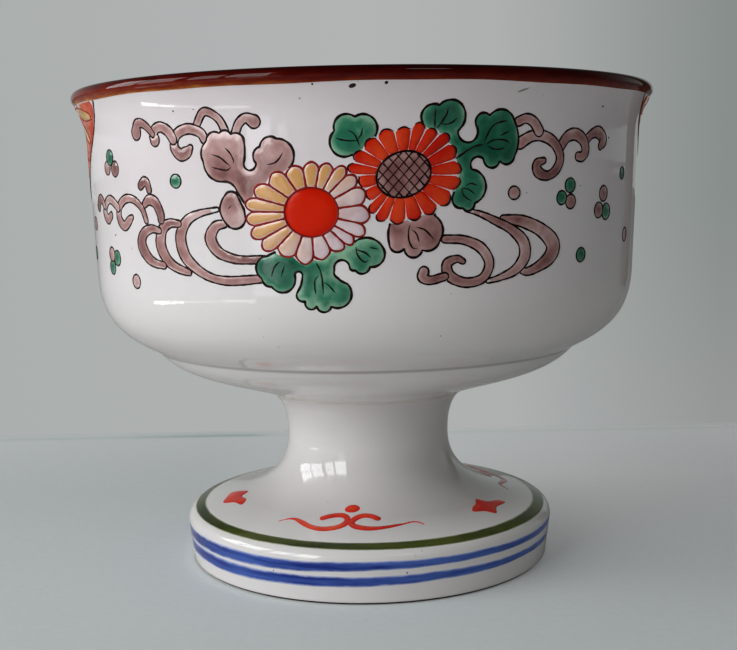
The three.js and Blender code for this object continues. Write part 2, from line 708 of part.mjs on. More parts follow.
const washingBowl = new THREE.Group();
const upper = bowl();
const slip = slipJoint();
slip.position.z = PEDESTAL_HEIGHT;
upper.position.z = PEDESTAL_HEIGHT + SLIP_THICKNESS;
washingBowl.add(pedestal(), slip, upper);

export default washingBowl;
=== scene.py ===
"""A footed sake cup washing bowl in white glazed stoneware, painted in raised enamels.

The bowl's sizes are in millimetres and are turned to metres when a mesh is made. Its axis is the
Z axis, it stands on Z = 0, and its painted front faces -Y. The room's sizes are in metres.
"""
import math

import bmesh
import bpy
import numpy as np
from mathutils import Matrix, Vector
from mathutils.geometry import delaunay_2d_cdt


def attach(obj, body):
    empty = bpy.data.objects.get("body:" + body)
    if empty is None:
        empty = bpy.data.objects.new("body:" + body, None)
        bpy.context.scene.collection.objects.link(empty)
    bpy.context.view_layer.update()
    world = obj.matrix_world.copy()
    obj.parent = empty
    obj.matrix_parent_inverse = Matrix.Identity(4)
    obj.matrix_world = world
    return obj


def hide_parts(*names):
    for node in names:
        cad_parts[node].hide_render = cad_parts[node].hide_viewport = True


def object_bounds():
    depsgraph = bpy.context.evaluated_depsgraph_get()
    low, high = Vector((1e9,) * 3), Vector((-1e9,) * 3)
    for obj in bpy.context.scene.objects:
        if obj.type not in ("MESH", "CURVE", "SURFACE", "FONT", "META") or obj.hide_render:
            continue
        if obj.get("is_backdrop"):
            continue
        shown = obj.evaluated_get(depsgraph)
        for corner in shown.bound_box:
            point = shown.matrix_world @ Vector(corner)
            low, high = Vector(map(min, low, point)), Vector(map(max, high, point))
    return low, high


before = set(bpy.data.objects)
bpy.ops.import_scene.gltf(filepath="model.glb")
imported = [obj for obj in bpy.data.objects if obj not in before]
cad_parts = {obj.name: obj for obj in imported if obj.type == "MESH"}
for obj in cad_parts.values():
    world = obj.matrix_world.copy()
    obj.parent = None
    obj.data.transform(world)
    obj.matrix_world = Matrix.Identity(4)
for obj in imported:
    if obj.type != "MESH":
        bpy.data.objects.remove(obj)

MM = 0.001


def plain(corners):
    return [list(corner) for corner in corners]


sizes = {"after_load": plain(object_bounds())}

# Pedestal, as in the part
PEDESTAL_HEIGHT = 44.6
WAIST_RADIUS = 22
WAIST_HEIGHT = 33
FOOT_RADIUS = 49.8
FOOT_SIDE_HEIGHT = 10.4
FOOT_EDGE_ROUND = 1.8
FOOT_EDGE_RISE = 3
FOOT_TOP_RISE = 1.9
FOOT_TOP_WIDTH = 7
FOOT_TAPER = 1.2
FOOT_RING_WIDTH = 4.6
FOOT_RING_ROUND = 0.6
BARE_HEIGHT = FOOT_RING_ROUND * 1.05
BARE_WIDTH = 8
FOOT_WALL = 5.4
STEM_WALL = 5.5
STEM_ROOF = 6.5
SHELF_INSET = 1.2
ARCH_SPREAD = 11
ARCH_RISE = 3
STEM_HOLLOW_DROP = 4
SLIP_THICKNESS = 0.6

# Bowl, as in the part
SEAT_HEIGHT = PEDESTAL_HEIGHT + SLIP_THICKNESS
SEAT_RADIUS = 27.4
BOWL_HEIGHT = 79.1
WALL_RADIUS = 72.2
LIP_OVERHANG = 3.7
LIP_ROUND = 1.7
LIP_FLARE_HEIGHT = 13
WALL_TAPER = 1.2
SHOULDER_HEIGHT = 33
RIDGE_INSET = 15.2
RIDGE_HEIGHT = 12.8
RIDGE_STEP = 1
WALL_THICKNESS = 3.8
FLOOR_THICKNESS = 7.5

# Steps round the axis, along a long curve and along the foot's short ones
TURN_STEPS = 256
CURVE_STEPS = 28
EDGE_STEPS = 10
# Points of a profile or drawing that are nearer than this are one
TOUCHING = 1e-4

# Painted bands, whose edges start a little below the glaze so that no gap shows
SINK = 0.02
LINE_RISE = 0.06
LINE_STEPS = 360
LINE_ROWS = 13
LIP_BAND_DROP = 3.8
# As many points of the inside as reach below the band, and how its lower edge wanders
LIP_INSIDE_POINTS = 40
LIP_SWAY = 0.16
LIP_SWAY_ROWS = 6
OLIVE_LINE_RADII = (45.2, 47.7)
OLIVE_SPREAD = 0.25
# Azimuth in degrees to the right of the viewer, with the heights that the line runs between
BLUE_LINES = {
    "lower_blue_line": [
        (-80, 3.6, 7.1), (-45, 3.7, 7.1), (-20, 4.2, 7.2), (0, 4.7, 7.45), (20, 5.1, 7.6),
        (50, 5.4, 7.3), (180, 4.7, 7.25)],
    "upper_blue_line": [
        (-80, 7.3, 10.8), (-45, 7.4, 10.85), (-20, 8, 10.9), (0, 8.7, 11.2), (15, 9, 11.2), (50, 9, 11),
        (180, 8.5, 11)],
}

# The spray is drawn in millimetres round the wall and up from its middle
SPRAY_HEIGHT = 98
PAINT_RADIUS = WALL_RADIUS - WALL_TAPER / 2
SPRAY_AZIMUTH = 0.08
STROKE_STEP = 0.3
ARC_STEPS = 12
# Shares of a patch's spacing: between its rows of points, from them to its edge and along it
ROW_PITCH = 0.87
EDGE_CLEAR = 0.45
EDGE_PITCH = 0.8
# Paint of a motif: the enamel's rise, its outline's width and the width of its sloping edge
LEAF_PAINT = (0.2, 0.6, 1.4)
WATER_PAINT = (0.15, 0.46, 0.7)
DOT_PAINT = (0.18, 0.42, 1.0)

# Petal tips of the two chrysanthemums, in order round the flower
WHITE_TIPS = [
    (-10.8, 6.8), (-7.3, 6.4), (-4, 5.7), (-1.7, 3.6), (0.2, 0.4), (1.1, -4.7), (0, -8.4),
    (-2.6, -10.5), (-4.6, -11.6), (-9, -13.7), (-13, -14.7), (-17.9, -12.8), (-22.2, -11.4),
    (-24.8, -8.5), (-25.8, -5.1), (-25.9, -1.7), (-23.6, 1.4), (-19.5, 4.5), (-15, 6),
]
RED_TIPS = [
    (8.6, 13.7), (12.1, 14.6), (15, 13.2), (18, 12.1), (19.6, 9.2), (20.9, 4.8), (20.7, 2.2),
    (18.2, -2.2), (14.6, -4.4), (11, -5.7), (6.8, -6.5), (2.9, -5.7), (1.2, -3.9), (0.6, -0.7),
    (-1, 2.3), (-3.3, 5.5), (-2, 8), (0.8, 11), (4.3, 13.2),
]
# The middle and reach of each disc, and its tilt
WHITE_DISC = ((-11.3, -3.7), (5.8, 5.2), 0)
RED_DISC = ((8.4, 3.9), (5.9, 4.7), 0.35)
# The gap between petals, and the share of their length at which they part
WHITE_GAPS = (0.1, 0.84)
RED_GAPS = (0.16, 0.87)
LATTICE_PITCH = 1.66
LATTICE_SLANTS = (0.85, 2.3)
LATTICE_ROWS = range(-4, 5)
LATTICE_REACH = 7

# Leaf veins
VEINS = [
    [(-33.5, 8.9), (-31.6, 8.3), (-30, 7.1), (-29.1, 6.4)],
    [(-30.1, 10.2), (-28.9, 9), (-28.1, 7.3), (-28.3, 6.9)],
    [(-33.6, 6.2), (-31.5, 5.7), (-29.8, 5.5), (-28.9, 6.2)],
    [(-20.5, 6.4), (-18.8, 6.8), (-17.8, 7.6), (-16.9, 8.9)],
    [(-30, -2.8), (-29.2, -2)],
    [(9.6, -6.7), (9.3, -8.2), (9.4, -10), (10.2, -11.6), (11.2, -11.7)],
    [(10, -7.7), (11, -8.6), (11.6, -10.4)],
    [(11, -7.2), (12.8, -7.8), (14.2, -9.2), (14.8, -9.9)],
    [(-18.5, -14.1), (-19.6, -15.1), (-20.3, -16.6), (-20.4, -17.4)],
    [(-17.5, -15), (-17.9, -16.2), (-18.3, -17.3)],
    [(-10.5, -14.4), (-9.6, -16.1), (-9.2, -18.5), (-9.1, -21.2)],
    [(-10, -17.1), (-10.8, -18.1), (-10.9, -19.5), (-10.7, -21.1)],
    [(-8.8, -18.6), (-7.8, -19.3), (-6.5, -20.8)],
    [(-1.9, -11.1), (-1.7, -12.5), (-0.9, -13.8), (0, -14.4), (0.6, -14)],
    [(-1.9, -11.4), (-1.5, -11.8), (0.1, -12.4), (1.2, -13.5)],
    [(1, -11.3), (2.7, -11.6)],
    [(-5.5, 11.6), (-4.2, 11.2), (-2.5, 11), (-1.1, 11.1)],
    [(-3, 13.2), (-1.9, 12.5), (-1.2, 11.3), (-0.8, 10)],
    [(-0.1, 13.6), (-0.3, 12.4), (-1, 11.4)],
    [(15.1, 17.5), (15, 15), (15.1, 13.5)],
    [(17.8, 17.7), (17.5, 16.3), (16.6, 14.8), (15.5, 13.4)],
    [(19.9, 15.5), (18.8, 14.6), (17.6, 14.2), (16.4, 14.3)],
    [(31.6, 14.9), (30.4, 14.8), (28.5, 14.2), (27.3, 12.9), (26.4, 11.2), (26, 10.4)],
    [(32.1, 12.7), (31, 12.3), (29.8, 11.7)],
    [(26.6, 10), (28, 10.8), (29.8, 11), (31.5, 10.7), (32.2, 10)],
    [(26.8, 9.7), (28.2, 9), (29.6, 8.9), (31, 9.3)],
    [(25.9, 9.9), (24, 9.6), (22, 8.6), (20.5, 7.6), (18, 6.2), (14.6, 5.1)],
    [(21, 0.9), (21.2, -0.4), (22.1, -1.3), (23.2, -1.9)],
    [(21.2, 0.8), (22.4, 0.6), (24, -0.5)],
    [(21.8, 1.2), (23, 1.8), (24.6, 1.3)],
]

# Dots: place, radius and colour
DOTS = [
    (-69.8, 9.3, 1.9, "green"), (-71.6, 6.9, 1.7, "purple"), (-67.2, 6.6, 1.9, "purple"),
    (-44, 3.4, 1.6, "green"), (-73, -13.6, 1.8, "purple"), (-69.8, -14.4, 1.9, "green"),
    (-73.1, -16.7, 1.8, "green"), (-60.6, -19.5, 1.7, "purple"), (-87, -6.5, 1.7, "purple"),
    (-91, -14, 1.7, "green"), (33.7, -0.4, 1.5, "purple"), (50.1, 1, 1.7, "green"),
    (47.4, -1.7, 1.6, "green"), (50.4, -2.6, 1.7, "purple"), (63.6, -1, 1.9, "purple"),
    (61.6, -4.8, 1.9, "purple"), (65.2, -5.2, 2, "green"), (54.8, -14.8, 1.7, "green"),
    (74, 3.7, 1.5, "green"), (78.3, -11.1, 1.7, "purple"),
]

# Iron specks in the glaze: place and reach
SPECKS = [
    (-1.9, 22.1, 0.85, 0.5), (4.8, 22.6, 0.45, 0.4), (-12.7, 19.9, 0.25, 0.25), (-9.8, 22.6, 0.3, 0.3),
    (37, -0.4, 0.25, 0.25), (53.8, 0.9, 0.25, 0.25), (65.3, 11.8, 0.4, 0.35), (60.6, 18.7, 0.5, 0.3),
    (-69.8, -8.9, 0.6, 0.25), (-42.9, 18.5, 0.3, 0.3), (-37.3, 18.6, 0.25, 0.25),
]
# The same on the foot's side, placed from the ground up, and a smear under the lip
FOOT_SPECKS = [(12.7, 7.9, 0.4, 0.3), (-35.5, 7.4, 0.4, 0.25)]
SMEAR = [(33.2, 20.9), (34.4, 21.3), (35.8, 21.8)]

# The half chrysanthemum on each panel
PANEL_HALF_WIDTH = 35.5
PANEL_DROP = 30
PANEL_MARGIN = 4
PANEL_PETALS = 11
PANEL_FAN = 2.9
PANEL_DISC_RADIUS = 6.6
PANEL_PETAL_ROOT = 7.2
PANEL_PETAL_HALF_WIDTH = 1.5
# The blunt corner that the cloth hangs down to: across, and up from its full drop
PANEL_CORNER = [(-1.2, 1.24), (-0.5, 0.6), (0.5, 0.6), (1.2, 1.24)]

# Motifs on the foot's top, drawn as seen from above. A scroll's places come with its width there
SCROLL_LEFT = [
    (-22.9, -30.9, 0.6), (-20.6, -30.7, 0.8), (-18.8, -31.3, 1.1), (-17, -33.3, 1.7),
    (-15.1, -35.6, 1.8), (-12.8, -37.2, 2.1), (-10.3, -37.7, 2.2), (-7.8, -37.3, 2.1), (-5.9, -35.9, 2),
    (-5.5, -34.2, 1.7), (-6.5, -32.9, 1.8), (-8.4, -32.5, 1.8), (-10.4, -32.6, 1.9), (-11.6, -32.9, 2),
]
SCROLL_RIGHT = [
    (2, -34.6, 1.9), (0.5, -33.7, 1.8), (-1.4, -33.4, 1.8), (-3.2, -34.1, 1.9), (-4.5, -35.6, 1.9),
    (-4.2, -37, 1.9), (-2.7, -38, 2.2), (-0.4, -38.6, 2.1), (2.1, -38.5, 1.7), (4.6, -37.9, 1.4),
    (6.8, -37.1, 1.1), (8.5, -36.4, 0.8), (10.4, -35.4, 0.7), (12, -35.2, 0.6), (13.6, -36, 0.6),
]
THIN_SCROLL = 1.3
FOOT_DOT = ((-4.3, -30.8), (2, 1.35))
# The turn of each pair of scrolls in degrees, with how many places the right one keeps
FOOT_TURNS = [(0, 15), (121, 15), (222, 9)]
DIAMONDS = [
    [(-39.5, -10.3), (-39.1, -5.6), (-38, -2.2), (-35.5, -3.6), (-32.8, -7.1), (-34.4, -9.3),
     (-32.8, -13.1), (-33.9, -16), (-36.2, -12.6)],
    [(28.1, -18.8), (31.2, -18.1), (34.4, -15.2), (36.1, -16.2), (33.3, -20.8), (32.8, -24.9),
     (29.9, -24.9), (26.6, -26.5), (26.6, -24.1), (27.6, -21.8)],
]

# Each leaf goes clockwise from notch to notch, with how far its edge swells out to the next
LEAVES = {
    "green_leaf_upper": [
        (-2.4, 8.1, 2.7), (-5.9, 13.1, 1.9), (-1.6, 15.9, 2.4), (2.5, 11.9, 0), (1, 8, 0)],
    "green_leaves_right": [
        (13.3, 13.6, 2.4), (15.9, 18.1, 3.5), (20.7, 13.4, 0), (20.1, 12.8, -2.8), (24.5, 13.5, 1.8),
        (27.3, 16, 1.7), (33.3, 15.2, 1.1), (33.6, 7.4, 1.2), (29.9, 6.5, 1.7), (26, 6.9, -1.6),
        (23.3, 4.7, 3), (24, -2.4, 1.1), (21.3, -3.4, 1.3), (19.3, -0.2, 0), (17.5, 6, 0),
        (15.5, 11.5, 0)],
    "green_leaves_lower": [
        (-2.2, -10.1, 1.9), (4.2, -12.4, 1.1), (1, -15.4, 1.1), (-2.1, -16.1, 0.2), (-3.3, -15.7, -2),
        (-6.6, -16, -0.4), (-5.9, -17.7, -0.2), (-3.9, -18.9, 2.6), (-7.5, -23.8, 1.3),
        (-10.7, -23.7, 1.3), (-13.1, -22.6, 0.9), (-14.9, -20.8, -0.3), (-13.6, -17.4, -1),
        (-15.3, -17, 2.5), (-20.6, -19.5, 0.6), (-22.8, -17.8, 1.9), (-21.5, -13, 0), (-15, -10, 0),
        (-6, -9.5, 0)],
    "purple_leaves_left": [
        (-27.8, 1, -0.6), (-30.8, 3.1, 1.5), (-35.9, 7.5, 0.9), (-34.9, 11.7, 1.1), (-31.5, 13.3, 0.8),
        (-28.7, 13, 0.7), (-25.7, 12.1, 0.3), (-25.9, 6.8, -1.5), (-23, 6.8, 1.1), (-22, 10.2, 1.2),
        (-18.3, 11.8, 2), (-15.2, 6.2, 0), (-18, 3, 0), (-23, 0.5, 0), (-25.5, -2.5, 0)],
    "purple_leaf_round": [
        (-30, -6.7, 0.4), (-32.3, -3, 0.4), (-30.2, 0.7, 0.3), (-28, 0.5, 0), (-26.3, -3, 0),
        (-26, -5, 1.1)],
    "purple_leaf_right": [
        (15.2, -5, 1.1), (16.2, -10.1, 1), (12.3, -12.1, 1.8), (8.4, -11.6, 1.3), (5.2, -10.6, 0.45),
        (5.8, -5.4, 0), (9, -3, 0), (14, -3, 0)],
}

# Flowing water: bands of changing width, through places given with their width
WATER = {
    "water_upper_left": [
        [(-56.3, 14.5, 3.5), (-55.5, 16.3, 2.2), (-53.7, 16.4, 1.9), (-52, 15.4, 1.7),
         (-50.4, 13.8, 1.4)],
        [(-49.8, 12.6, 3), (-50.2, 14, 2.6), (-49.2, 15, 2.2), (-47.4, 15.3, 2.2), (-45.3, 14.2, 2.4),
         (-44, 12.4, 2.2)],
        [(-35.3, 12.2, 2), (-36.4, 13.7, 2.1), (-39.6, 14.6, 2.2), (-42.9, 13.5, 2.3),
         (-43.8, 10.9, 2.3), (-42.1, 9.1, 2.6), (-40.2, 9.6, 2.6), (-39.2, 10.5, 1.4)],
        [(-37.3, 15, 1.7), (-35.4, 17.6, 1.7), (-33.7, 17.9, 1.7), (-31.3, 16.3, 1.7),
         (-30, 13.8, 1.8)],
    ],
    "water_hook_left": [
        [(-27.6, 13.2, 1.9), (-26.6, 15.2, 1.9), (-24.9, 16.3, 2), (-23.1, 15.5, 2.9)],
    ],
    "water_curl_left": [
        [(-52.9, 1.5, 1.7), (-53.5, 3.1, 1.9), (-54.7, 3.5, 2.1), (-56, 2.6, 2)],
    ],
    "water_middle_left": [
        [(-80.8, -2.1, 2.6), (-79.5, -0.6, 2.3), (-77.7, -0.5, 2), (-75.5, -2.2, 1.6)],
        [(-67, -2.5, 2), (-69.6, -1, 2), (-72.1, -0.5, 2), (-74.4, -1.6, 2.1), (-75.6, -3.6, 2.6),
         (-73.8, -5.2, 2.3), (-71.4, -4.3, 1.8)],
        [(-54.7, -5.4, 1.4), (-56.2, -2.5, 1.6), (-59.6, -0.5, 1.7), (-63.3, -0.5, 2),
         (-66.4, -2.4, 2.3), (-66.6, -5.1, 2.4), (-64.3, -6.7, 2.2), (-61.9, -5.4, 2.2),
         (-60.5, -4.6, 1.2)],
        [(-55.6, -2.1, 1.4), (-53.4, -0.7, 2.3), (-51, -1.3, 2.5), (-49.5, -3.8, 2.3),
         (-49.4, -5.1, 2)],
    ],
    "water_arcs_left": [
        [(-50.2, -7.6, 1.4), (-53.2, -7.2, 1.9), (-56.1, -8.4, 2.6), (-57.1, -10.9, 3.3),
         (-55, -13.7, 2.7), (-52.3, -15, 1.9), (-49.4, -15.4, 1.6)],
        [(-43.8, -6, 1.5), (-46.7, -5.9, 2), (-49.2, -7.4, 2.8), (-50.1, -10.6, 3.2),
         (-48.6, -13.6, 2.8), (-46.2, -15.4, 2.2), (-43.3, -16.4, 1.8), (-41.6, -16.8, 1.4)],
        [(-33, -2.9, 1), (-37.5, -3.7, 1.5), (-41.3, -5.3, 2.3), (-43.5, -8.8, 3), (-42.6, -12.9, 3),
         (-39.5, -15.8, 2.3), (-35.3, -17.8, 1.8), (-31, -18.4, 1.9), (-27, -18.2, 1.9),
         (-22.6, -17.8, 1.7)],
    ],
    "water_inner_left": [
        [(-31.3, -6, 1.6), (-33.6, -6.6, 2.2), (-35.1, -9.2, 2.9), (-33.2, -12.1, 2.4),
         (-29.6, -13.5, 1.9), (-26.3, -13.8, 1.7), (-22, -13.6, 1.6)],
    ],
    "water_upper_right": [
        [(34.4, 14.8, 2), (36.5, 15.5, 2), (38.6, 14.7, 2.3), (40, 12.9, 2.6)],
        [(34.9, 10.2, 2.6), (38, 11.7, 2.3), (41.3, 11.8, 2.4), (44.6, 10.3, 2.4), (46.5, 7.3, 2.3),
         (45.4, 4.6, 2.2), (42.8, 3.2, 1.9), (40.1, 4, 2.5), (39.7, 5.8, 2.1), (41.6, 6.5, 1.3)],
        [(46, 8.8, 2.2), (48.5, 11.6, 2.4), (51.6, 12.3, 2.7), (54.4, 10.9, 2.8), (55.2, 8.7, 2.6),
         (54, 7.4, 2.2), (52.5, 7.4, 2)],
        [(54.9, 10.6, 2.1), (57.4, 12.4, 2), (60.3, 12.9, 2.8), (62.5, 11.3, 3.2), (61.3, 9.8, 1.8)],
    ],
    "water_spiral_right": [
        [(12.6, -16.7, 2.2), (12.4, -17.9, 2.2), (14, -18.6, 1.8), (17.3, -17.9, 1.7)],
        [(17.3, -9.9, 1.7), (21.5, -10.2, 1.8), (25.6, -12, 2.2), (27.7, -15.4, 2.2), (26.1, -18.6, 2),
         (22, -19.4, 2), (18.4, -17.8, 2.3), (17.8, -15.2, 2.1), (20, -14.2, 1.5), (21.4, -14.8, 1.2)],
    ],
    "water_arcs_right": [
        [(22, -3.8, 0.6), (25.3, -4.7, 1.1), (28.8, -6.2, 1.6), (33, -8.2, 2), (36.3, -11, 2.8),
         (36.8, -14.3, 2.9), (34.4, -17.1, 2.2), (30.6, -18.6, 1.4), (27.4, -19.3, 0.9)],
        [(31, -5.9, 1.6), (36, -6.6, 2.5), (41.5, -8.8, 3), (45, -11.9, 4), (44.2, -14.6, 3.5),
         (41, -16.6, 2.4), (37.6, -17.7, 1.7), (35.4, -17, 1.2)],
    ],
}


# Profiles, as pairs of radius and height

def bend(start, first, second, end, steps=CURVE_STEPS):
    share = np.linspace(0, 1, steps + 1)[:, None]
    rest = 1 - share
    weights = (rest ** 3, 3 * rest ** 2 * share, 3 * rest * share ** 2, share ** 3)
    corners = (start, first, second, end)
    return sum(weight * np.array(corner) for weight, corner in zip(weights, corners))


def joined(*runs):
    points = [runs[0][0]]
    for point in np.concatenate([np.array(run, dtype=float) for run in runs]):
        if np.hypot(*(point - points[-1])) > TOUCHING:
            points.append(point)
    return np.array(points)


def raised(profile, height):
    return np.array(profile, dtype=float) + (0, height)


def bowl_outside():
    ridge_radius = WALL_RADIUS - RIDGE_INSET
    end = (ridge_radius - RIDGE_STEP, RIDGE_HEIGHT - RIDGE_STEP * 0.8)
    width = end[0] - SEAT_RADIUS
    bottom = bend(
        (SEAT_RADIUS, 0), (SEAT_RADIUS + width * 0.5, end[1] * 0.42),
        (SEAT_RADIUS + width * 0.8, end[1] * 0.45), end)
    shoulder_radius = WALL_RADIUS - WALL_TAPER
    rise = SHOULDER_HEIGHT - RIDGE_HEIGHT
    shoulder = bend(
        (ridge_radius + 0.1, RIDGE_HEIGHT + 0.1),
        (ridge_radius + (shoulder_radius - ridge_radius) * 0.68, RIDGE_HEIGHT + rise * 0.225),
        (shoulder_radius - 0.4, RIDGE_HEIGHT + rise * 0.45), (shoulder_radius, SHOULDER_HEIGHT),
        CURVE_STEPS * 2)
    flare_start = (WALL_RADIUS, BOWL_HEIGHT - LIP_FLARE_HEIGHT)
    wall = bend(
        (shoulder_radius, SHOULDER_HEIGHT), (shoulder_radius + WALL_TAPER * 0.2, SHOULDER_HEIGHT + 8),
        (WALL_RADIUS - 0.3, flare_start[1] - 12), flare_start)
    lip = lip_round()[0]
    flare = bend(
        flare_start, (WALL_RADIUS + 0.15, BOWL_HEIGHT - LIP_FLARE_HEIGHT * 0.65),
        (lip[0] - 1.75, lip[1] - 2.3), lip)
    return joined(bottom, shoulder, wall, flare)


def lip_round():
    angles = np.linspace(-math.pi / 6, math.pi * 0.92, 20)
    middle = np.array([WALL_RADIUS + LIP_OVERHANG - LIP_ROUND, BOWL_HEIGHT - LIP_ROUND])
    return middle + LIP_ROUND * np.stack([np.cos(angles), np.sin(angles)], axis=1)


def bowl_inside():
    end = lip_round()[-1]
    wall_top = (WALL_RADIUS - WALL_THICKNESS, BOWL_HEIGHT - LIP_FLARE_HEIGHT * 1.15)
    flare = bend(
        end, (end[0] - 1.6, end[1] - LIP_FLARE_HEIGHT * 0.3),
        (wall_top[0] + 0.3, wall_top[1] + LIP_FLARE_HEIGHT * 0.45), wall_top)
    corner_top = (WALL_RADIUS - WALL_TAPER - WALL_THICKNESS, SHOULDER_HEIGHT + 2)
    corner = bend(
        corner_top,
        (corner_top[0] - 0.7, FLOOR_THICKNESS + (corner_top[1] - FLOOR_THICKNESS) / 3),
        (corner_top[0] * 0.67, FLOOR_THICKNESS), (0, FLOOR_THICKNESS), CURVE_STEPS * 2)
    return joined(flare, corner)


def bowl_profile():
    return raised(joined([(0, 0)], bowl_outside(), lip_round(), bowl_inside()), SEAT_HEIGHT)


def foot_side():
    return np.linspace((FOOT_RADIUS - FOOT_TAPER, FOOT_RING_ROUND), (FOOT_RADIUS, FOOT_SIDE_HEIGHT), 16)


def foot_top():
    """The foot's rounded edge and its sloping top, up to the waist."""
    edge_top = (FOOT_RADIUS - FOOT_EDGE_ROUND, FOOT_SIDE_HEIGHT + FOOT_EDGE_RISE)
    edge = bend(
        (FOOT_RADIUS, FOOT_SIDE_HEIGHT), (FOOT_RADIUS, FOOT_SIDE_HEIGHT + FOOT_EDGE_RISE * 0.6),
        (edge_top[0] + FOOT_EDGE_ROUND * 0.45, edge_top[1] - FOOT_EDGE_RISE * 0.15), edge_top,
        EDGE_STEPS)
    flare_start = (edge_top[0] - FOOT_TOP_WIDTH, edge_top[1] + FOOT_TOP_RISE)
    top = bend(
        edge_top, (edge_top[0] - 2, edge_top[1] + 0.8),
        (flare_start[0] + 2, flare_start[1] - 0.55), flare_start, EDGE_STEPS)
    flare = bend(
        flare_start, (WAIST_RADIUS + (flare_start[0] - WAIST_RADIUS) * 0.26, flare_start[1] + 3.5),
        (WAIST_RADIUS, flare_start[1] + (WAIST_HEIGHT - flare_start[1]) / 2),
        (WAIST_RADIUS, WAIST_HEIGHT), CURVE_STEPS * 2)
    return joined(edge, top, flare)


def pedestal_outside():
    neck = bend(
        (WAIST_RADIUS, WAIST_HEIGHT),
        (WAIST_RADIUS, WAIST_HEIGHT + (PEDESTAL_HEIGHT - WAIST_HEIGHT) * 0.47),
        (SEAT_RADIUS - 4, SEAT_HEIGHT - 1.9), (SEAT_RADIUS, SEAT_HEIGHT))
    return joined(foot_side(), foot_top(), neck)


def pedestal_inside():
    ring_inner = (FOOT_RADIUS - FOOT_TAPER - FOOT_RING_WIDTH, 0)
    hollow = WAIST_RADIUS - STEM_WALL
    roof = PEDESTAL_HEIGHT - STEM_ROOF
    shelf = (ring_inner[0] - SHELF_INSET, FOOT_SIDE_HEIGHT + FOOT_EDGE_RISE - FOOT_WALL)
    underside = bend(
        shelf, (hollow + ARCH_SPREAD, shelf[1] + ARCH_RISE), (hollow, shelf[1] + ARCH_RISE * 2),
        (hollow, WAIST_HEIGHT - STEM_HOLLOW_DROP))
    dome = bend(underside[-1], (hollow, roof - 2), (hollow * 0.6, roof), (0, roof))
    return joined([ring_inner, shelf], underside, dome)


def pedestal_profile():
    ring_outer = (FOOT_RADIUS - FOOT_TAPER - FOOT_RING_ROUND, 0)
    return joined(pedestal_inside()[::-1], [ring_outer], pedestal_outside(), [(0, SEAT_HEIGHT)])


def left_of(vectors):
    """The vectors turned a quarter to the left."""
    return np.stack([-vectors[..., 1], vectors[..., 0]], axis=-1)


def unit_steps(path):
    """Unit vectors along an open path."""
    along = np.gradient(path, axis=0)
    return along / np.linalg.norm(along, axis=1)[:, None]


def normals(profile):
    """Unit vectors square to an open profile, to its right hand seen along it."""
    return -left_of(unit_steps(profile))


def between(profile, low, high):
    """The part of a rising profile between two heights."""
    heights = profile[:, 1]
    inner = profile[(heights > low) & (heights < high)]
    ends = [[np.interp(height, heights, profile[:, 0]), height] for height in (low, high)]
    return joined([ends[0]], inner, [ends[1]])


OUTSIDE = raised(bowl_outside(), SEAT_HEIGHT)
WALL = between(OUTSIDE, SEAT_HEIGHT + RIDGE_HEIGHT + 0.3, OUTSIDE[-1, 1] - 0.01)
FOOT = foot_top()
FOOT_SIDE = joined(foot_side(), FOOT)


# Meshes

def add_object(name, data):
    thing = bpy.data.objects.new(name, data)
    bpy.context.scene.collection.objects.link(thing)
    return thing


def add_mesh(name, vertices, faces, material):
    mesh = bpy.data.meshes.new(name)
    mesh.from_pydata([tuple(vertex) for vertex in vertices], [], faces)
    mesh.materials.append(material)
    return add_object(name, mesh)


def new_piece(name, vertices, faces, finish):
    """A piece of the bowl, in a finish: a material and its slot in the record. The slot is not used."""
    material, slot = finish
    piece = add_mesh(name, np.asarray(vertices) * MM, faces, material)
    piece.data.validate()
    piece.data.shade_smooth()
    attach(piece, "root")
    return piece


def face_outward(piece, sharp_angle):
    work = bmesh.new()
    work.from_mesh(piece.data)
    bmesh.ops.recalc_face_normals(work, faces=work.faces)
    work.to_mesh(piece.data)
    work.free()
    piece.data.shade_smooth()
    piece.data.set_sharp_from_angle(angle=math.radians(sharp_angle))


def add_values(piece, **values):
    """Named numbers per vertex, which the materials read."""
    for name, numbers in values.items():
        attribute = piece.data.attributes.new(name, "FLOAT", "POINT")
        attribute.data.foreach_set("value", np.asarray(numbers, dtype=float))


def turned(radius, azimuth, height):
    """Places round the axis, with the azimuth to the right of the viewer."""
    return np.stack([radius * np.sin(azimuth), -radius * np.cos(azimuth), height], axis=1)


def revolved(profile, closed=False):
    """Vertices and faces of a profile turned round the axis, with single points on the axis."""
    azimuths = np.arange(TURN_STEPS) / TURN_STEPS * math.tau
    vertices, rings, faces = [], [], []
    for radius, height in profile:
        start = len(vertices)
        if radius < 1e-6:
            vertices.append((0, 0, height))
            rings.append([start] * TURN_STEPS)
        else:
            vertices += list(turned(radius, azimuths, np.full(TURN_STEPS, height)))
            rings.append(list(range(start, start + TURN_STEPS)))
    for low, high in zip(rings, rings[1:] + (rings[:1] if closed else [])):
        for step in range(TURN_STEPS):
            after = (step + 1) % TURN_STEPS
            corners = dict.fromkeys([low[step], low[after], high[after], high[step]])
            faces.append(list(corners))
    return vertices, faces


def lane_faces(lanes, count, closed=True):
    """Faces between neighbouring lanes of vertices that hold the same count."""
    steps = count if closed else count - 1
    starts = [
        (lane * count + step, lane * count + (step + 1) % count)
        for lane in range(lanes - 1) for step in range(steps)]
    return [[a, b, b + count, a + count] for a, b in starts]


# Outlines on the flat drawing

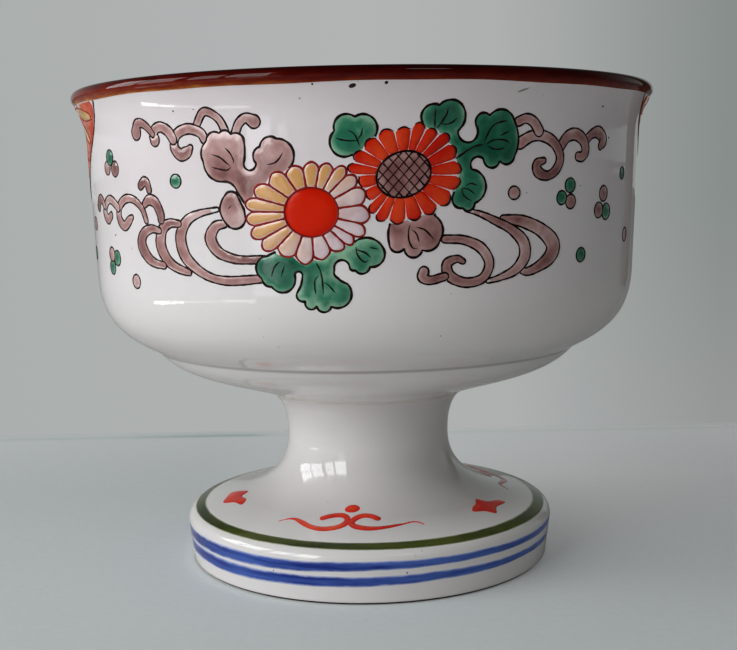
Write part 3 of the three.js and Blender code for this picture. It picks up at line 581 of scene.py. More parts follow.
def catmull(points, steps, closed=False):
    """A smooth curve through the points."""
    points = np.array(points, dtype=float)
    if closed:
        before, beyond = points[-1:], points[:2]
    else:
        before, beyond = 2 * points[:1] - points[1:2], 2 * points[-1:] - points[-2:-1]
    chain = np.concatenate([before, points, beyond])
    share = np.arange(steps)[:, None] / steps
    runs = []
    for before, start, end, after in zip(chain, chain[1:], chain[2:], chain[3:]):
        first = (end - before) / 2
        last = (after - start) / 2
        curve = start + first * share
        curve = curve + (3 * (end - start) - 2 * first - last) * share ** 2
        curve = curve + (2 * (start - end) + first + last) * share ** 3
        runs.append(curve)
    if not closed:
        runs.append(points[-1:])
    return np.concatenate(runs)


def travelled(path):
    """How far along the path each of its points lies."""
    return np.concatenate([[0], np.cumsum(np.hypot(*np.diff(path, axis=0).T))])


def even(path, spacing, closed=False):
    """The path again, with its points a set distance apart."""
    if closed:
        path = np.concatenate([path, path[:1]])
    lengths = travelled(path)
    count = max(int(round(lengths[-1] / spacing)), 3)
    places = np.linspace(0, lengths[-1], count + 1)
    if closed:
        places = places[:-1]
    return np.stack([np.interp(places, lengths, path[:, axis]) for axis in (0, 1)], axis=1)


def ellipse(middle, reach, tilt=0.0, steps=48):
    angles = np.arange(steps) / steps * math.tau
    flat = np.stack([reach[0] * np.cos(angles), reach[1] * np.sin(angles)], axis=1)
    turn = np.array([[math.cos(tilt), math.sin(tilt)], [-math.sin(tilt), math.cos(tilt)]])
    return flat @ turn + middle


def leaf_outline(notches):
    """Arcs from each notch to the next, swelling out or drawn in."""
    edge = []
    for (x, y, swell), (next_x, next_y, _) in zip(notches, notches[1:] + notches[:1]):
        start, end = np.array([x, y]), np.array([next_x, next_y])
        if swell == 0:
            edge.append(start[None])
            continue
        half = (end - start) / 2
        length = np.hypot(*half)
        outward = left_of(half) / length
        sweep = 2 * math.atan(swell / length)
        radius = length / math.sin(sweep)
        centre = start + half - outward * radius * math.cos(sweep)
        angles = (sweep - 2 * sweep * np.arange(ARC_STEPS) / ARC_STEPS)[:, None]
        edge.append(centre + radius * (np.cos(angles) * outward - np.sin(angles) * half / length))
    return np.concatenate(edge)


def band_outline(places):
    """The edge of a band of changing width, with rounded ends."""
    line = catmull(places, 8)
    middle, half = line[:, :2], line[:, 2:] / 2
    along = unit_steps(middle)
    side = left_of(along)
    angles = np.linspace(0, math.pi, 9)[1:-1, None]
    start = middle[0] - half[0] * (np.sin(angles) * along[0] + np.cos(angles) * side[0])
    end = middle[-1] + half[-1] * (np.sin(angles) * along[-1] + np.cos(angles) * side[-1])
    return np.concatenate([middle + side * half, end, (middle - side * half)[::-1], start])


def petal_outline(disc, before, tip, after, gap, depth):
    """A petal from the disc to its round tip, parted from the next ones at a share of its length."""
    middle, tip = np.array(disc[0]), np.array(tip)
    edges = []
    for neighbour in (before, after):
        valley = middle + ((tip + neighbour) / 2 - middle) * depth
        ahead = valley - middle
        root = middle + ahead * disc_reach(disc, ahead) * 0.88
        outward = ahead / np.hypot(*ahead)
        drop = (tip - valley) @ outward
        aside = valley - tip + outward * drop
        inward = -aside * gap / 2 / np.hypot(*aside)
        shoulder = tip + aside * 0.82 - outward * drop * 0.4
        crown = tip + aside * 0.42 - outward * drop * 0.09
        edges.append([root + inward, valley + inward, shoulder + inward, crown])
    return catmull(edges[0] + [tip] + edges[1][::-1], 4, closed=True)


def disc_reach(disc, ahead):
    """The share of a step from the disc's middle at which it crosses the disc's edge."""
    _, reach, tilt = disc
    across = ahead[0] * math.cos(tilt) + ahead[1] * math.sin(tilt)
    up = ahead[1] * math.cos(tilt) - ahead[0] * math.sin(tilt)
    return 1 / math.hypot(across / reach[0], up / reach[1])


def anticlockwise(outline):
    after = np.roll(outline, -1, axis=0)
    area = (outline[:, 0] * after[:, 1] - outline[:, 1] * after[:, 0]).sum()
    return outline if area > 0 else outline[::-1]


def inside(points, outline):
    """Which points lie inside a closed outline."""
    x, y = points[:, 0:1], points[:, 1:2]
    start, end = outline, np.roll(outline, -1, axis=0)
    spans = (start[:, 1] > y) != (end[:, 1] > y)
    rise = np.where(end[:, 1] == start[:, 1], 1, end[:, 1] - start[:, 1])
    crossing = start[:, 0] + (y - start[:, 1]) / rise * (end[:, 0] - start[:, 0])
    return (spans & (x < crossing)).sum(axis=1) % 2 == 1


def touches(outline, low, high):
    return (outline.max(axis=0) > low).all() and (outline.min(axis=0) < high).all()


def rim_distance(points, triangles):
    """How far each point lies from the rim of the triangles that it belongs to."""
    count = {}
    for face in triangles:
        for start, end in zip(face, face[1:] + face[:1]):
            key = (min(start, end), max(start, end))
            count[key] = count.get(key, 0) + 1
    rim = np.array([key for key, uses in count.items() if uses == 1])
    start, end = points[rim[:, 0]], points[rim[:, 1]]
    along = end - start
    share = ((points[:, None] - start) * along).sum(axis=2) / (along ** 2).sum(axis=1)
    nearest = start + np.clip(share, 0, 1)[..., None] * along
    return np.linalg.norm(points[:, None] - nearest, axis=2).min(axis=1)


# Raised paint

class Paint:
    """Patches and strokes of one colour, gathered on the flat drawing and laid on a surface."""

    def __init__(self):
        self.points, self.lifts, self.pool, self.faces = [], [], [], []

    def add(self, points, lifts, pool, faces):
        start = sum(len(run) for run in self.points)
        self.points.append(points)
        self.lifts.append(lifts)
        self.pool.append(pool)
        self.faces += [[corner + start for corner in face] for face in faces]

    def patch(self, outline, covers=(), rise=0.25, edge=0.9, spacing=0.8):
        """A cushion of enamel inside the outline and outside the covers."""
        outline = even(outline, spacing * EDGE_PITCH, closed=True)
        low, high = outline.min(axis=0), outline.max(axis=0)
        grid = np.array([
            (x, y) for row, y in enumerate(np.arange(low[1], high[1], spacing * ROW_PITCH))
            for x in np.arange(low[0] + (row % 2) * spacing / 2, high[0], spacing)])
        near = np.min(np.linalg.norm(grid[:, None] - outline[None], axis=2), axis=1)
        grid = grid[inside(grid, outline) & (near > spacing * EDGE_CLEAR)]
        around = [anticlockwise(even(cover, spacing, closed=True)) for cover in covers]
        rims = [anticlockwise(outline), *(rim for rim in around if touches(rim, low, high))]
        starts = np.cumsum([0] + [len(rim) for rim in rims])
        faces = [list(range(start, end)) for start, end in zip(starts, starts[1:])]
        flat = [Vector(point) for point in np.concatenate([*rims, grid])]
        places, _, triangles, _, _, owners = delaunay_2d_cdt(flat, [], faces, 1, TOUCHING)
        kept = [face for face, owner in zip(triangles, owners) if list(owner) == [0]]
        if not kept:
            return
        used = sorted({corner for face in kept for corner in face})
        order = {corner: index for index, corner in enumerate(used)}
        kept = [[order[corner] for corner in face] for face in kept]
        points = np.array([places[corner][:] for corner in used])
        depth = np.minimum(rim_distance(points, kept) / edge, 1)
        self.add(points, (rise + SINK) * np.sin(depth * math.pi / 2) - SINK, depth, kept)

    def stroke(self, path, width=0.4, rise=0.13, covers=(), closed=False, taper=0.0):
        """A rounded line along the path, broken where a cover hides it."""
        path = even(np.asarray(path, dtype=float), STROKE_STEP, closed)
        seen = np.ones(len(path), dtype=bool)
        for cover in covers:
            seen &= ~inside(path, cover)
        if closed and seen.all():
            self.ribbon(path, width, rise, True, 0)
            return
        if closed:
            first = int(np.argmin(seen))
            path, seen = np.roll(path, -first, axis=0), np.roll(seen, -first)
        run = []
        for point, shown in zip([*path, None], [*seen, False]):
            if shown:
                run.append(point)
                continue
            if len(run) > 2:
                self.ribbon(np.array(run), width, rise, False, taper)
            run = []

    def ribbon(self, path, width, rise, closed, taper):
        count = len(path)
        if closed:
            along = np.roll(path, -1, axis=0) - np.roll(path, 1, axis=0)
        else:
            along = np.gradient(path, axis=0)
        along /= np.maximum(np.linalg.norm(along, axis=1), 1e-9)[:, None]
        side = left_of(along)
        travel = np.arange(count) * STROKE_STEP
        sway = 1 + 0.16 * np.sin(travel * 1.3 + path[0, 0]) + 0.1 * np.sin(travel * 3.1 + path[0, 1])
        half = width / 2 * sway
        if taper:
            half = half * np.clip(0.35 + np.minimum(travel, travel[::-1]) / taper, 0, 1)
        across = ((-1, -SINK), (-0.6, rise * 0.75), (0, rise), (0.6, rise * 0.75), (1, -SINK))
        points = np.concatenate([path + side * (half * share)[:, None] for share, _ in across])
        lifts = np.concatenate([np.full(count, lift) for _, lift in across])
        pool = np.concatenate([np.full(count, 1 - abs(share)) for share, _ in across])
        self.add(points, lifts, pool, lane_faces(len(across), count, closed))

    def lay(self, name, surface, finish, replaced=()):
        """The gathered paint as a piece that lies on a surface."""
        points = np.concatenate(self.points)
        piece = new_piece(name, surface(points, np.concatenate(self.lifts)), self.faces, finish)
        add_values(piece, pool=np.concatenate(self.pool), across=points[:, 0], up=points[:, 1])
        if replaced:
            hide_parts(*replaced)


# Surfaces that paint is laid on

def off_side(profile, heights, azimuths, lifts):
    """Places at a height and azimuth of a round side, lifted off it."""
    radius, out, up = (
        np.interp(heights, profile[:, 1], values)
        for values in (profile[:, 0], *normals(profile).T))
    return turned(radius + lifts * out, azimuths, heights + lifts * up)


def upright_surface(profile, base, turn):
    """Lays points given by arc length and height on a round side, turned round the axis."""
    return lambda points, lifts: off_side(
        profile, points[:, 1] + base, points[:, 0] / PAINT_RADIUS + turn, lifts)


def wall_surface(turn):
    return upright_surface(WALL, SPRAY_HEIGHT, turn)


def foot_surface(turn):
    """Lays points given in plan on the foot's top, turned round the axis."""
    top = np.hstack([FOOT, normals(FOOT)])[::-1]

    def surface(points, lifts):
        radius = np.hypot(points[:, 0], points[:, 1])
        heights, out, up = (np.interp(radius, top[:, 0], values) for values in top[:, 1:].T)
        azimuth = np.arctan2(points[:, 0], -points[:, 1]) + turn
        return turned(radius + lifts * out, azimuth, heights + lifts * up)

    return surface


# Node trees

def srgb(red, green, blue):
    levels = [level / 255 for level in (red, green, blue)]
    return [v / 12.92 if v <= 0.04045 else ((v + 0.055) / 1.055) ** 2.4 for v in levels] + [1.0]


class Nodes:
    """The node tree of a material or world. Colours are given in levels from 0 to 255."""

    def __init__(self, owner):
        owner.use_nodes = True
        self.owner, self.tree = owner, owner.node_tree
        self.tree.nodes.clear()

    def add(self, kind, inputs=None, **settings):
        node = self.tree.nodes.new(f"ShaderNode{kind}")
        for name, setting in settings.items():
            setattr(node, name, setting)
        for name, source in (inputs or {}).items():
            self.feed(node.inputs[name], source)
        return node

    def feed(self, socket, source):
        if isinstance(source, Value):
            self.tree.links.new(source.socket, socket)
        else:
            socket.default_value = srgb(*source) if isinstance(source, tuple) else source

    def value(self, kind, output, inputs=None, **settings):
        return Value(self, self.add(kind, inputs, **settings).outputs[output])

    def noise(self, scale, detail, stretch=(1, 1, 1)):
        """Cloudy noise, with its scale in waves per metre."""
        place = self.value("TexCoord", "Object")
        place = self.value("Mapping", 0, {"Vector": place, "Scale": Vector(stretch)})
        return self.value("TexNoise", "Fac", {"Vector": place, "Scale": scale, "Detail": detail})

    def carried(self, name):
        """A number that the mesh carries at each vertex."""
        return self.value("Attribute", "Fac", attribute_name=name)

    def axes(self, space="Object"):
        split = self.add("SeparateXYZ", {"Vector": self.value("TexCoord", space)})
        return [Value(self, socket) for socket in split.outputs]

    def ray(self, kind):
        return self.value("LightPath", f"Is {kind} Ray")

    def bump(self, scale, detail, depth, strength=1.0, stretch=(1, 1, 1), before=None):
        """Noise as small hills, on top of the bumps before it."""
        inputs = {"Height": self.noise(scale, detail, stretch), "Distance": depth}
        inputs["Strength"] = strength
        if before:
            inputs["Normal"] = before
        return self.value("Bump", "Normal", inputs)

    def principled(self, colour, bump, roughness, specular=0.5):
        shader = self.value("BsdfPrincipled", "BSDF", {
            "Base Color": colour, "Normal": bump, "Roughness": roughness,
            "Specular IOR Level": specular})
        self.add("OutputMaterial", {"Surface": shader})
        return self.owner


class Value:
    """What a node gives out. Sums on it add maths nodes."""

    def __init__(self, nodes, socket):
        self.nodes, self.socket = nodes, socket

    def maths(self, operation, *sources):
        return self.nodes.value("Math", "Value", dict(enumerate(sources)), operation=operation)

    def __add__(self, other):
        return self.maths("ADD", self, other)

    def __sub__(self, other):
        return self.maths("SUBTRACT", self, other)

    def __rsub__(self, other):
        return self.maths("SUBTRACT", other, self)

    def __mul__(self, other):
        return self.maths("MULTIPLY", self, other)

    def __truediv__(self, other):
        return self.maths("DIVIDE", self, other)

    def ramp(self, *stops):
        """Colours or greys at places along this value from 0 to 1."""
        node = self.nodes.add("ValToRGB", {"Fac": self})
        elements = node.color_ramp.elements
        while len(elements) < len(stops):
            elements.new(0.5)
        for element, (position, colour) in zip(elements, stops):
            element.position = position
            element.color = srgb(*colour) if isinstance(colour, tuple) else [colour] * 3 + [1]
        return Value(self.nodes, node.outputs["Color"])

    def mixed(self, first, second):
        """The first colour where this value is 0, the second where it is 1."""
        node = self.nodes.add("Mix", {0: self}, data_type="RGBA")
        inputs = [socket for socket in node.inputs if socket.type == "RGBA"]
        for socket, source in zip(inputs, (first, second)):
            self.nodes.feed(socket, source)
        return Value(self.nodes, next(s for s in node.outputs if s.type == "RGBA"))


# Materials

def material_nodes(name):
    return Nodes(bpy.data.materials.new(name))


def glaze_material(name, cool, plain, warm, thin, fade):
    """White glaze with faint clouds, throwing rings and pinholes, a plainer tone low down, painted
    shade round the root of the stem and a painted shadow line under the ridge.
    """
    nodes = material_nodes(name)
    height = nodes.axes()[2]
    clouds = nodes.noise(22, 4).ramp((0.3, cool), (0.5, plain), (0.72, warm))
    body = (height * fade).ramp((0.4, 1.0), (0.85, 0.0)).mixed(clouds, thin)
    # Painted shade: the glaze darkens round the root of the stem, where the bowl above shades the foot.
    stem_root_shade = (height * 25).ramp((0.355, 0.0), (0.43, 1.0), (0.6, 0.6), (0.8, 0.0))
    body = stem_root_shade.mixed(body, (201, 198, 197))
    # Painted shadow: a dark line along the step under the ridge, where shade falls in the groove.
    ridge = (height * 10).ramp((0.571, 0.0), (0.5745, 0.6), (0.5785, 0.6), (0.5815, 0.0))
    body = ridge.mixed(body, (140, 137, 132))
    pinholes = nodes.noise(900, 1).ramp((0.8, 0.0), (0.83, 1.0))
    gloss = nodes.noise(60, 3).ramp((0.3, 0.02), (0.7, 0.045))
    rings = nodes.bump(16, 2, 0.0004, 0.5, (1, 1, 9))
    skin = nodes.bump(420, 2, 0.00002, 0.5, before=rings)
    return nodes.principled(pinholes.mixed(body, (150, 130, 120)), skin, gloss)


def mottled_material(name, mottle, tones, grain, roughness, specular):
    """Two tones that run into each other, and a fine grain."""
    nodes = material_nodes(name)
    colour = nodes.noise(*mottle).ramp(*tones)
    return nodes.principled(colour, nodes.bump(*grain), roughness, specular)


def line_material(name, dark, light):
    """A thin painted line, with its colour a little uneven."""
    tones = ((0.3, dark), (0.75, light))
    return mottled_material(name, (240, 3), tones, (600, 2, 0.00003), 0.35, 0.08)


def enamel_material(name, light, body, dark, clouds=110, edge=0.3, shine=0.5, gilded=False):
    """Raised enamel that pooled darker in places and along its edge."""
    nodes = material_nodes(name)
    wide = (nodes.noise(clouds, 2) - 0.5) * 1.9
    fine = (nodes.noise(clouds * 5, 4) - 0.5) * 0.5
    rim = (0.6 - nodes.carried("pool")) * edge + 0.5
    colour = (wide + fine + rim).ramp((0.05, light), (0.5, body), (0.95, dark))
    if gilded:
        colour = gilding(nodes).mixed(colour, (216, 158, 84))
    gloss = nodes.noise(200, 2).ramp((0.3, 0.084), (0.7, 0.18))
    return nodes.principled(colour, nodes.bump(260, 3, 0.00003, 0.6), gloss, shine)


def gilding(nodes):
    """Where an ochre wash lies: down the petals' middles, most towards the upper left."""
    slope = nodes.carried("up") - nodes.carried("across") + nodes.noise(260, 3) * 16
    corner = (slope / 40).ramp((0.1, 0.0), (0.3, 0.35), (0.5, 1.0))
    return corner * nodes.carried("pool").ramp((0.3, 0.0), (0.85, 0.95))


def band_material(name, middle, streak, soft_edge, ground):
    """A brushed line: streaks that run round, and edges that melt into the glaze."""
    nodes = material_nodes(name)
    streaks = (nodes.noise(70, 5, (1, 1, 16)) + nodes.noise(26, 3)) * 0.5
    brushed = streaks.ramp((0.38, middle), (0.64, streak))
    reach = nodes.carried("pool") + (nodes.noise(300, 3) - 0.5) * soft_edge
    colour = reach.ramp((0.04, 0.0), (soft_edge, 1.0)).mixed(ground, brushed)
    return nodes.principled(colour, nodes.bump(180, 3, 0.00004, 0.6), 0.1, 0.25)


def lip_material():
    """Iron red: nearly black where it is thick. Towards the left it is painted redder and lighter as
    the lit side, with an amber edge that is partly thin glaze and partly painted highlight.
    """
    nodes = material_nodes("iron_red_glaze")
    thick = nodes.carried("edge") + (nodes.noise(160, 4, (1, 1, 5)) - 0.5) * 0.6
    darker = thick.ramp(
        (0.0, (122, 44, 16)), (0.12, (104, 26, 8)), (0.28, (84, 12, 4)), (0.5, (62, 6, 3)),
        (0.9, (30, 2, 1)))
    # The lit copy of the colours: redder and lighter, with a brighter amber edge as a painted
    # highlight.
    redder = thick.ramp(
        (0.0, (204, 136, 66)), (0.1, (158, 76, 26)), (0.22, (130, 42, 12)), (0.5, (108, 20, 7)),
        (0.9, (66, 7, 4)))
    # Painted light: the lit copy takes over towards the left, the side the window light falls on.
    left = (nodes.axes()[0] * 6 + 0.5).ramp((0.1, 1.0), (0.45, 0.0))
    return nodes.principled(
        left.mixed(darker, redder), nodes.bump(180, 3, 0.00006, 0.6), 0.03, 0.13)


# The enamels: slot in the record, then name, light, body and dark shade, and other settings
ENAMELS = {
    "green": ("green_enamel", (
        "green_enamel", (134, 182, 152), (44, 122, 92), (8, 82, 62)), {"edge": -0.5}),
    "purple": ("grey_purple_enamel", (
        "purple_enamel", (214, 186, 184), (178, 136, 132), (124, 80, 78)), {"edge": -0.4}),
    "red": ("orange_red_enamel", (
        "orange_red_enamel", (224, 66, 26), (202, 28, 6), (156, 10, 3)),
        {"clouds": 90, "shine": 0.25}),
    "disc": ("orange_red_enamel", (
        "deep_red_enamel", (216, 38, 8), (206, 28, 5), (184, 16, 3)),
        {"clouds": 60, "shine": 0.08}),
    "white": ("pink_enamel", (
        "pink_enamel", (240, 226, 228), (226, 208, 214), (206, 182, 192)),
        {"clouds": 200, "edge": 0.1, "gilded": True}),
    "cloth": ("orange_red_enamel", (
        "orange_cloth_enamel", (228, 118, 74), (208, 78, 40), (174, 46, 22)),
        {"clouds": 90, "shine": 0.25}),
    "gold": ("orange_red_enamel", (
        "straw_enamel", (228, 190, 130), (208, 162, 102), (178, 126, 72)), {}),
}


def painted_finishes():
    """Every painted finish, as a material and its slot in the record."""
    made = {
        finish: (enamel_material(*shades, **settings), slot)
        for finish, (slot, shades, settings) in ENAMELS.items()}
    dark = line_material("dark_line", (8, 2, 2), (34, 12, 10))
    red = line_material("dark_red_line", (112, 16, 12), (152, 38, 28))
    return {**made, "dark_line": (dark, "grey_purple_enamel"), "red_line": (red, "pink_enamel")}


# The thrown body

def thrown(name, profile, glaze, sharp_angle):
    piece = new_piece(name, *revolved(profile), (glaze, "glazed_body"))
    face_outward(piece, sharp_angle)
    return piece


def bowl(glaze):
    piece = thrown("glazed_bowl", bowl_profile(), glaze, 50)
    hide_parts("bowl")


def pedestal(glaze, clay):
    """The stand, glazed all over but for its bearing ring."""
    piece = thrown("glazed_pedestal", pedestal_profile(), glaze, 42)
    # The second material: the bare bearing ring, darkened as painted shade where it meets the floor.
    piece.data.materials.append(clay)
    for face in piece.data.polygons:
        radius = math.hypot(face.center.x, face.center.y) / MM
        if face.center.z < BARE_HEIGHT * MM and radius > FOOT_RADIUS - BARE_WIDTH:
            face.material_index = 1
    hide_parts("pedestal_foot")


def lip_band():
    """The band over the lip, with a lower edge that wanders a little."""
    bottom = SEAT_HEIGHT + BOWL_HEIGHT - LIP_BAND_DROP
    over_lip = raised(joined(lip_round(), bowl_inside()[:LIP_INSIDE_POINTS]), SEAT_HEIGHT)
    rim = joined(OUTSIDE, over_lip)
    start = int(np.argmax(rim[:, 1] > bottom + 0.3))
    stop = int(np.max(np.nonzero(rim[:, 1] > bottom)))
    profile = rim[start:stop + 1]
    square = normals(profile)
    over, under = profile + square * LINE_RISE, profile - square * SINK
    vertices, faces = revolved(np.concatenate([over, under[::-1]]), closed=True)
    vertices = np.array(vertices)
    azimuth = np.arctan2(vertices[:, 0], -vertices[:, 1])
    sway = np.sin(azimuth * 3 + 1) + 0.6 * np.sin(azimuth * 7) + 0.4 * np.sin(azimuth * 17 + 2)
    rows = np.arange(len(profile))
    rows = np.repeat(np.concatenate([rows, rows[::-1]]), TURN_STEPS)
    shift = sway * LIP_SWAY * np.clip(1 - rows / LIP_SWAY_ROWS, 0, 1)
    before, after = (
        np.interp(vertices[:, 2] + step, OUTSIDE[:, 1], OUTSIDE[:, 0]) for step in (0, shift))
    vertices[:, :2] *= (1 + (after - before) / before)[:, None]
    vertices[:, 2] += shift
    piece = new_piece("iron_red_lip", vertices, faces, (lip_material(), "iron_red_lip"))
    edge = np.clip(travelled(profile) / LIP_BAND_DROP, 0, 1)
    add_values(piece, edge=np.repeat(np.concatenate([edge, edge[::-1]]), TURN_STEPS))
    face_outward(piece, 60)
    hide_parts("lip_band")


def brushed_line(node, stations, finish, sway_share=1.0):
    """A thin line round the foot whose lower and upper edge change with the azimuth."""
    turns, lows, highs = zip(*stations)
    azimuths = np.arange(LINE_STEPS) / LINE_STEPS * math.tau
    low, high = (
        np.interp(np.degrees(azimuths), turns, heights, period=360) for heights in (lows, highs))
    sway = (0.05 * np.sin(azimuths * 9 + low[0]) + 0.03 * np.sin(azimuths * 23)) * sway_share
    rows, lifts = np.linspace(0, 1, LINE_ROWS), np.full(LINE_ROWS, LINE_RISE)
    lifts[[0, -1]] = -SINK
    vertices = np.concatenate([
        off_side(FOOT_SIDE, low + (high - low) * row + sway, azimuths, lift)
        for row, lift in zip(rows, lifts)])
    piece = new_piece(f"{node}_enamel", vertices, lane_faces(LINE_ROWS, LINE_STEPS), finish)
    add_values(piece, pool=np.repeat(1 - np.abs(2 * rows - 1), LINE_STEPS))
    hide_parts(node)


def foot_lines():
    blue = band_material("brushed_blue", (20, 44, 128), (78, 112, 196), 0.4, (186, 196, 226))
    for node, stations in BLUE_LINES.items():
        brushed_line(node, stations, (blue, "blue_enamel"))
    olive = band_material("brushed_olive", (36, 46, 3), (74, 84, 22), 0.3, (176, 182, 150))
    inner, outer = OLIVE_LINE_RADII
    wide, low, high = (
        np.interp(-radius, -FOOT[:, 0], FOOT[:, 1])
        for radius in (outer + OLIVE_SPREAD * 2.4, outer + OLIVE_SPREAD, inner - OLIVE_SPREAD))
    stations = [(-20, low, high), (35, wide, high), (70, wide, high), (120, low, high)]
    brushed_line("olive_line", stations, (olive, "olive_enamel"), 0.1)


# Painted motifs

def flower_hull(disc, tips):
    """The outline of all petals together, with the valleys between their tips."""
    middle = np.array(disc[0])
    edge = []
    for tip, after in zip(tips, tips[1:] + tips[:1]):
        tip, after = np.array(tip), np.array(after)
        outward = (tip - middle) / np.hypot(*(tip - middle))
        edge += [tip + outward * 0.1, tip + (after - tip) * 0.3]
        edge.append(middle + ((tip + after) / 2 - middle) * 0.94)
    return np.array(edge)


def lattice(disc):
    """Two sets of slanting lines across the disc."""
    middle, reach, tilt = disc
    outline = ellipse(middle, (reach[0] - 0.2, reach[1] - 0.2), tilt, 96)
    places = np.linspace(-LATTICE_REACH, LATTICE_REACH, 141)[:, None]
    lines = []
    for slant in LATTICE_SLANTS:
        ahead = np.array([math.cos(slant), math.sin(slant)])
        side = left_of(ahead)
        for row in LATTICE_ROWS:
            line = middle + side * row * LATTICE_PITCH + ahead * places
            line = line[inside(line, outline)]
            if len(line) > 5:
                lines.append(line[[0, -1]])
    return lines


class Spray:
    """The chrysanthemums, leaves and flowing water, from front to back."""

    def __init__(self):
        self.fields, self.covers = {}, []
        self.lines = {"red": Paint(), "dark": Paint()}
        self.flower("white_chrysanthemum", WHITE_DISC, WHITE_TIPS, *WHITE_GAPS)
        self.flower("red_chrysanthemum", RED_DISC, RED_TIPS, *RED_GAPS)
        for line in lattice(RED_DISC):
            self.lines["dark"].stroke(line, 0.42, 0.3)
        for name, notches in LEAVES.items():
            self.motif(name, leaf_outline(notches), *LEAF_PAINT)
        for vein in VEINS:
            self.lines["dark"].stroke(catmull(vein, 6), 0.6, 0.28, self.covers[:2], taper=1.6)
        for name, bands_of_water in WATER.items():
            for places in bands_of_water:
                self.motif(name, band_outline(places), *WATER_PAINT)
        for x, y, radius, colour in DOTS:
            self.motif(f"{colour}_dots", ellipse((x, y), (radius, radius * 0.96)), *DOT_PAINT)

    def field(self, name):
        return self.fields.setdefault(name, Paint())

    def flower(self, name, disc, tips, gap, depth):
        outline = ellipse(*disc)
        self.field(f"{name}_disc").patch(outline, self.covers, 0.22, 1.8)
        white = name.startswith("white")
        lines = self.lines["red" if white else "dark"]
        lines.stroke(outline, 0.5, 0.26, self.covers, closed=True)
        covers = [*self.covers, outline]
        for before, tip, after in zip(tips[-1:] + tips[:-1], tips, tips[1:] + tips[:1]):
            petal = petal_outline(disc, before, tip, after, gap, depth)
            self.field(f"{name}_petals").patch(petal, covers, 0.18, 0.6, 0.6)
            if white:
                lines.stroke(petal, 0.56, 0.16, covers, closed=True)
            else:
                quarter = len(petal) // 4
                lines.stroke(petal[quarter:-quarter], 0.5, 0.18, covers, taper=2.2)
        self.covers.append(flower_hull(disc, tips))

    def motif(self, name, outline, rise, line_width, edge):
        self.field(name).patch(outline, self.covers, rise, edge)
        self.lines["dark"].stroke(outline, line_width, 0.14, self.covers, closed=True)
        self.covers.append(outline)

    def lay(self, turn, suffix, finishes, nodes):
        """Lays the spray on the wall, in place of those of its motifs that are nodes."""
        surface = wall_surface(turn)
        for name, field in self.fields.items():
            replaced = (name,) if name in nodes else ()
            field.lay(f"{name}_enamel{suffix}", surface, finishes[finish_of(name)], replaced)
        for name, lines in self.lines.items():
            lines.lay(f"{name}_outlines{suffix}", surface, finishes[f"{name}_line"])


def finish_of(name):
    """The finish that a motif is painted with."""
    if name == "white_chrysanthemum_disc":
        return "disc"
    if name == "red_chrysanthemum_disc" or name.startswith("water"):
        return "purple"
    return name.split("_")[0]


def panel(name, azimuth, finishes):
    """Half of a cloth hung by its middle, with half a chrysanthemum on a red ground."""
    top = SEAT_HEIGHT + BOWL_HEIGHT - LIP_BAND_DROP + 0.2 - SPRAY_HEIGHT
    middle = np.array([azimuth * PAINT_RADIUS, top])

    def lozenge(inset):
        drop = PANEL_DROP - inset * math.hypot(PANEL_HALF_WIDTH, PANEL_DROP) / PANEL_HALF_WIDTH
        half = drop * PANEL_HALF_WIDTH / PANEL_DROP
        corner = [(across, up - drop) for across, up in PANEL_CORNER]
        return np.array([(-half, 0), *corner, (half, 0)]) + middle

    ground, gold, lines, border = Paint(), Paint(), Paint(), Paint()
    half_turn = np.linspace(math.pi, math.tau, 17)
    disc = np.stack([np.cos(half_turn), np.sin(half_turn)], axis=1) * PANEL_DISC_RADIUS + middle
    petals = []
    for order in range(PANEL_PETALS):
        lean = (order / (PANEL_PETALS - 1) - 0.5) * PANEL_FAN
        ahead = np.array([math.sin(lean), -math.cos(lean)])
        slant = abs(ahead[0]) * PANEL_DROP / PANEL_HALF_WIDTH + abs(ahead[1])
        root = middle + ahead * PANEL_PETAL_ROOT
        end = middle + ahead * ((PANEL_DROP - PANEL_MARGIN) / slant)
        side = left_of(ahead) * PANEL_PETAL_HALF_WIDTH
        widest = root + (end - root) * 0.6
        edge = [root - side * 0.4, widest - side, end - side * 0.5, end + ahead]
        edge += [end + side * 0.5, widest + side, root + side * 0.4]
        petals.append(catmull(edge, 5, closed=True))
        gold.patch(petals[-1], [disc], 0.2, 0.8)
        lines.stroke(petals[-1], 0.3, 0.2, [disc], closed=True)
    gold.patch(disc, (), 0.2, 0.8)
    lines.stroke(disc, 0.4, 0.2)
    ground.patch(lozenge(0.6), [*petals, disc], 0.16, 0.5, 1.2)
    border.stroke(lozenge(0.2), 0.5, 0.16)
    surface = wall_surface(0)
    ground.lay(f"{name}_ground", surface, finishes["cloth"], (name,))
    gold.lay(f"{name}_half_chrysanthemum", surface, finishes["gold"])
    lines.lay(f"{name}_petal_lines", surface, finishes["red_line"])
    border.lay(f"{name}_border", surface, finishes["dark_line"])


def foot_motifs(finish):
    """Pairs of scrolls with a dot, and diamonds between them, round the foot's top."""
    for order, (degrees, kept) in enumerate(FOOT_TURNS):
        motif = Paint()
        for scroll in (SCROLL_LEFT, SCROLL_RIGHT[:kept]):
            motif.patch(band_outline(scroll), (), 0.14, 0.6, 0.5)
            thin = [place[:2] for place in scroll if place[2] < THIN_SCROLL]
            if thin:
                motif.stroke(catmull(thin, 6), 0.55, 0.08, taper=2.5)
        motif.patch(ellipse(*FOOT_DOT, steps=20), (), 0.16, 0.7, 0.5)
        motif.lay(f"foot_scroll_{order + 1}", foot_surface(math.radians(degrees)), finish)
    back = math.radians(FOOT_TURNS[1][0])
    for order, (corners, turn) in enumerate(zip([*DIAMONDS, DIAMONDS[1]], (0, 0, back))):
        motif = Paint()
        motif.patch(catmull(corners, 4, closed=True), (), 0.14, 0.6, 0.5)
        motif.lay(f"foot_diamond_{order + 1}", foot_surface(turn), finish)


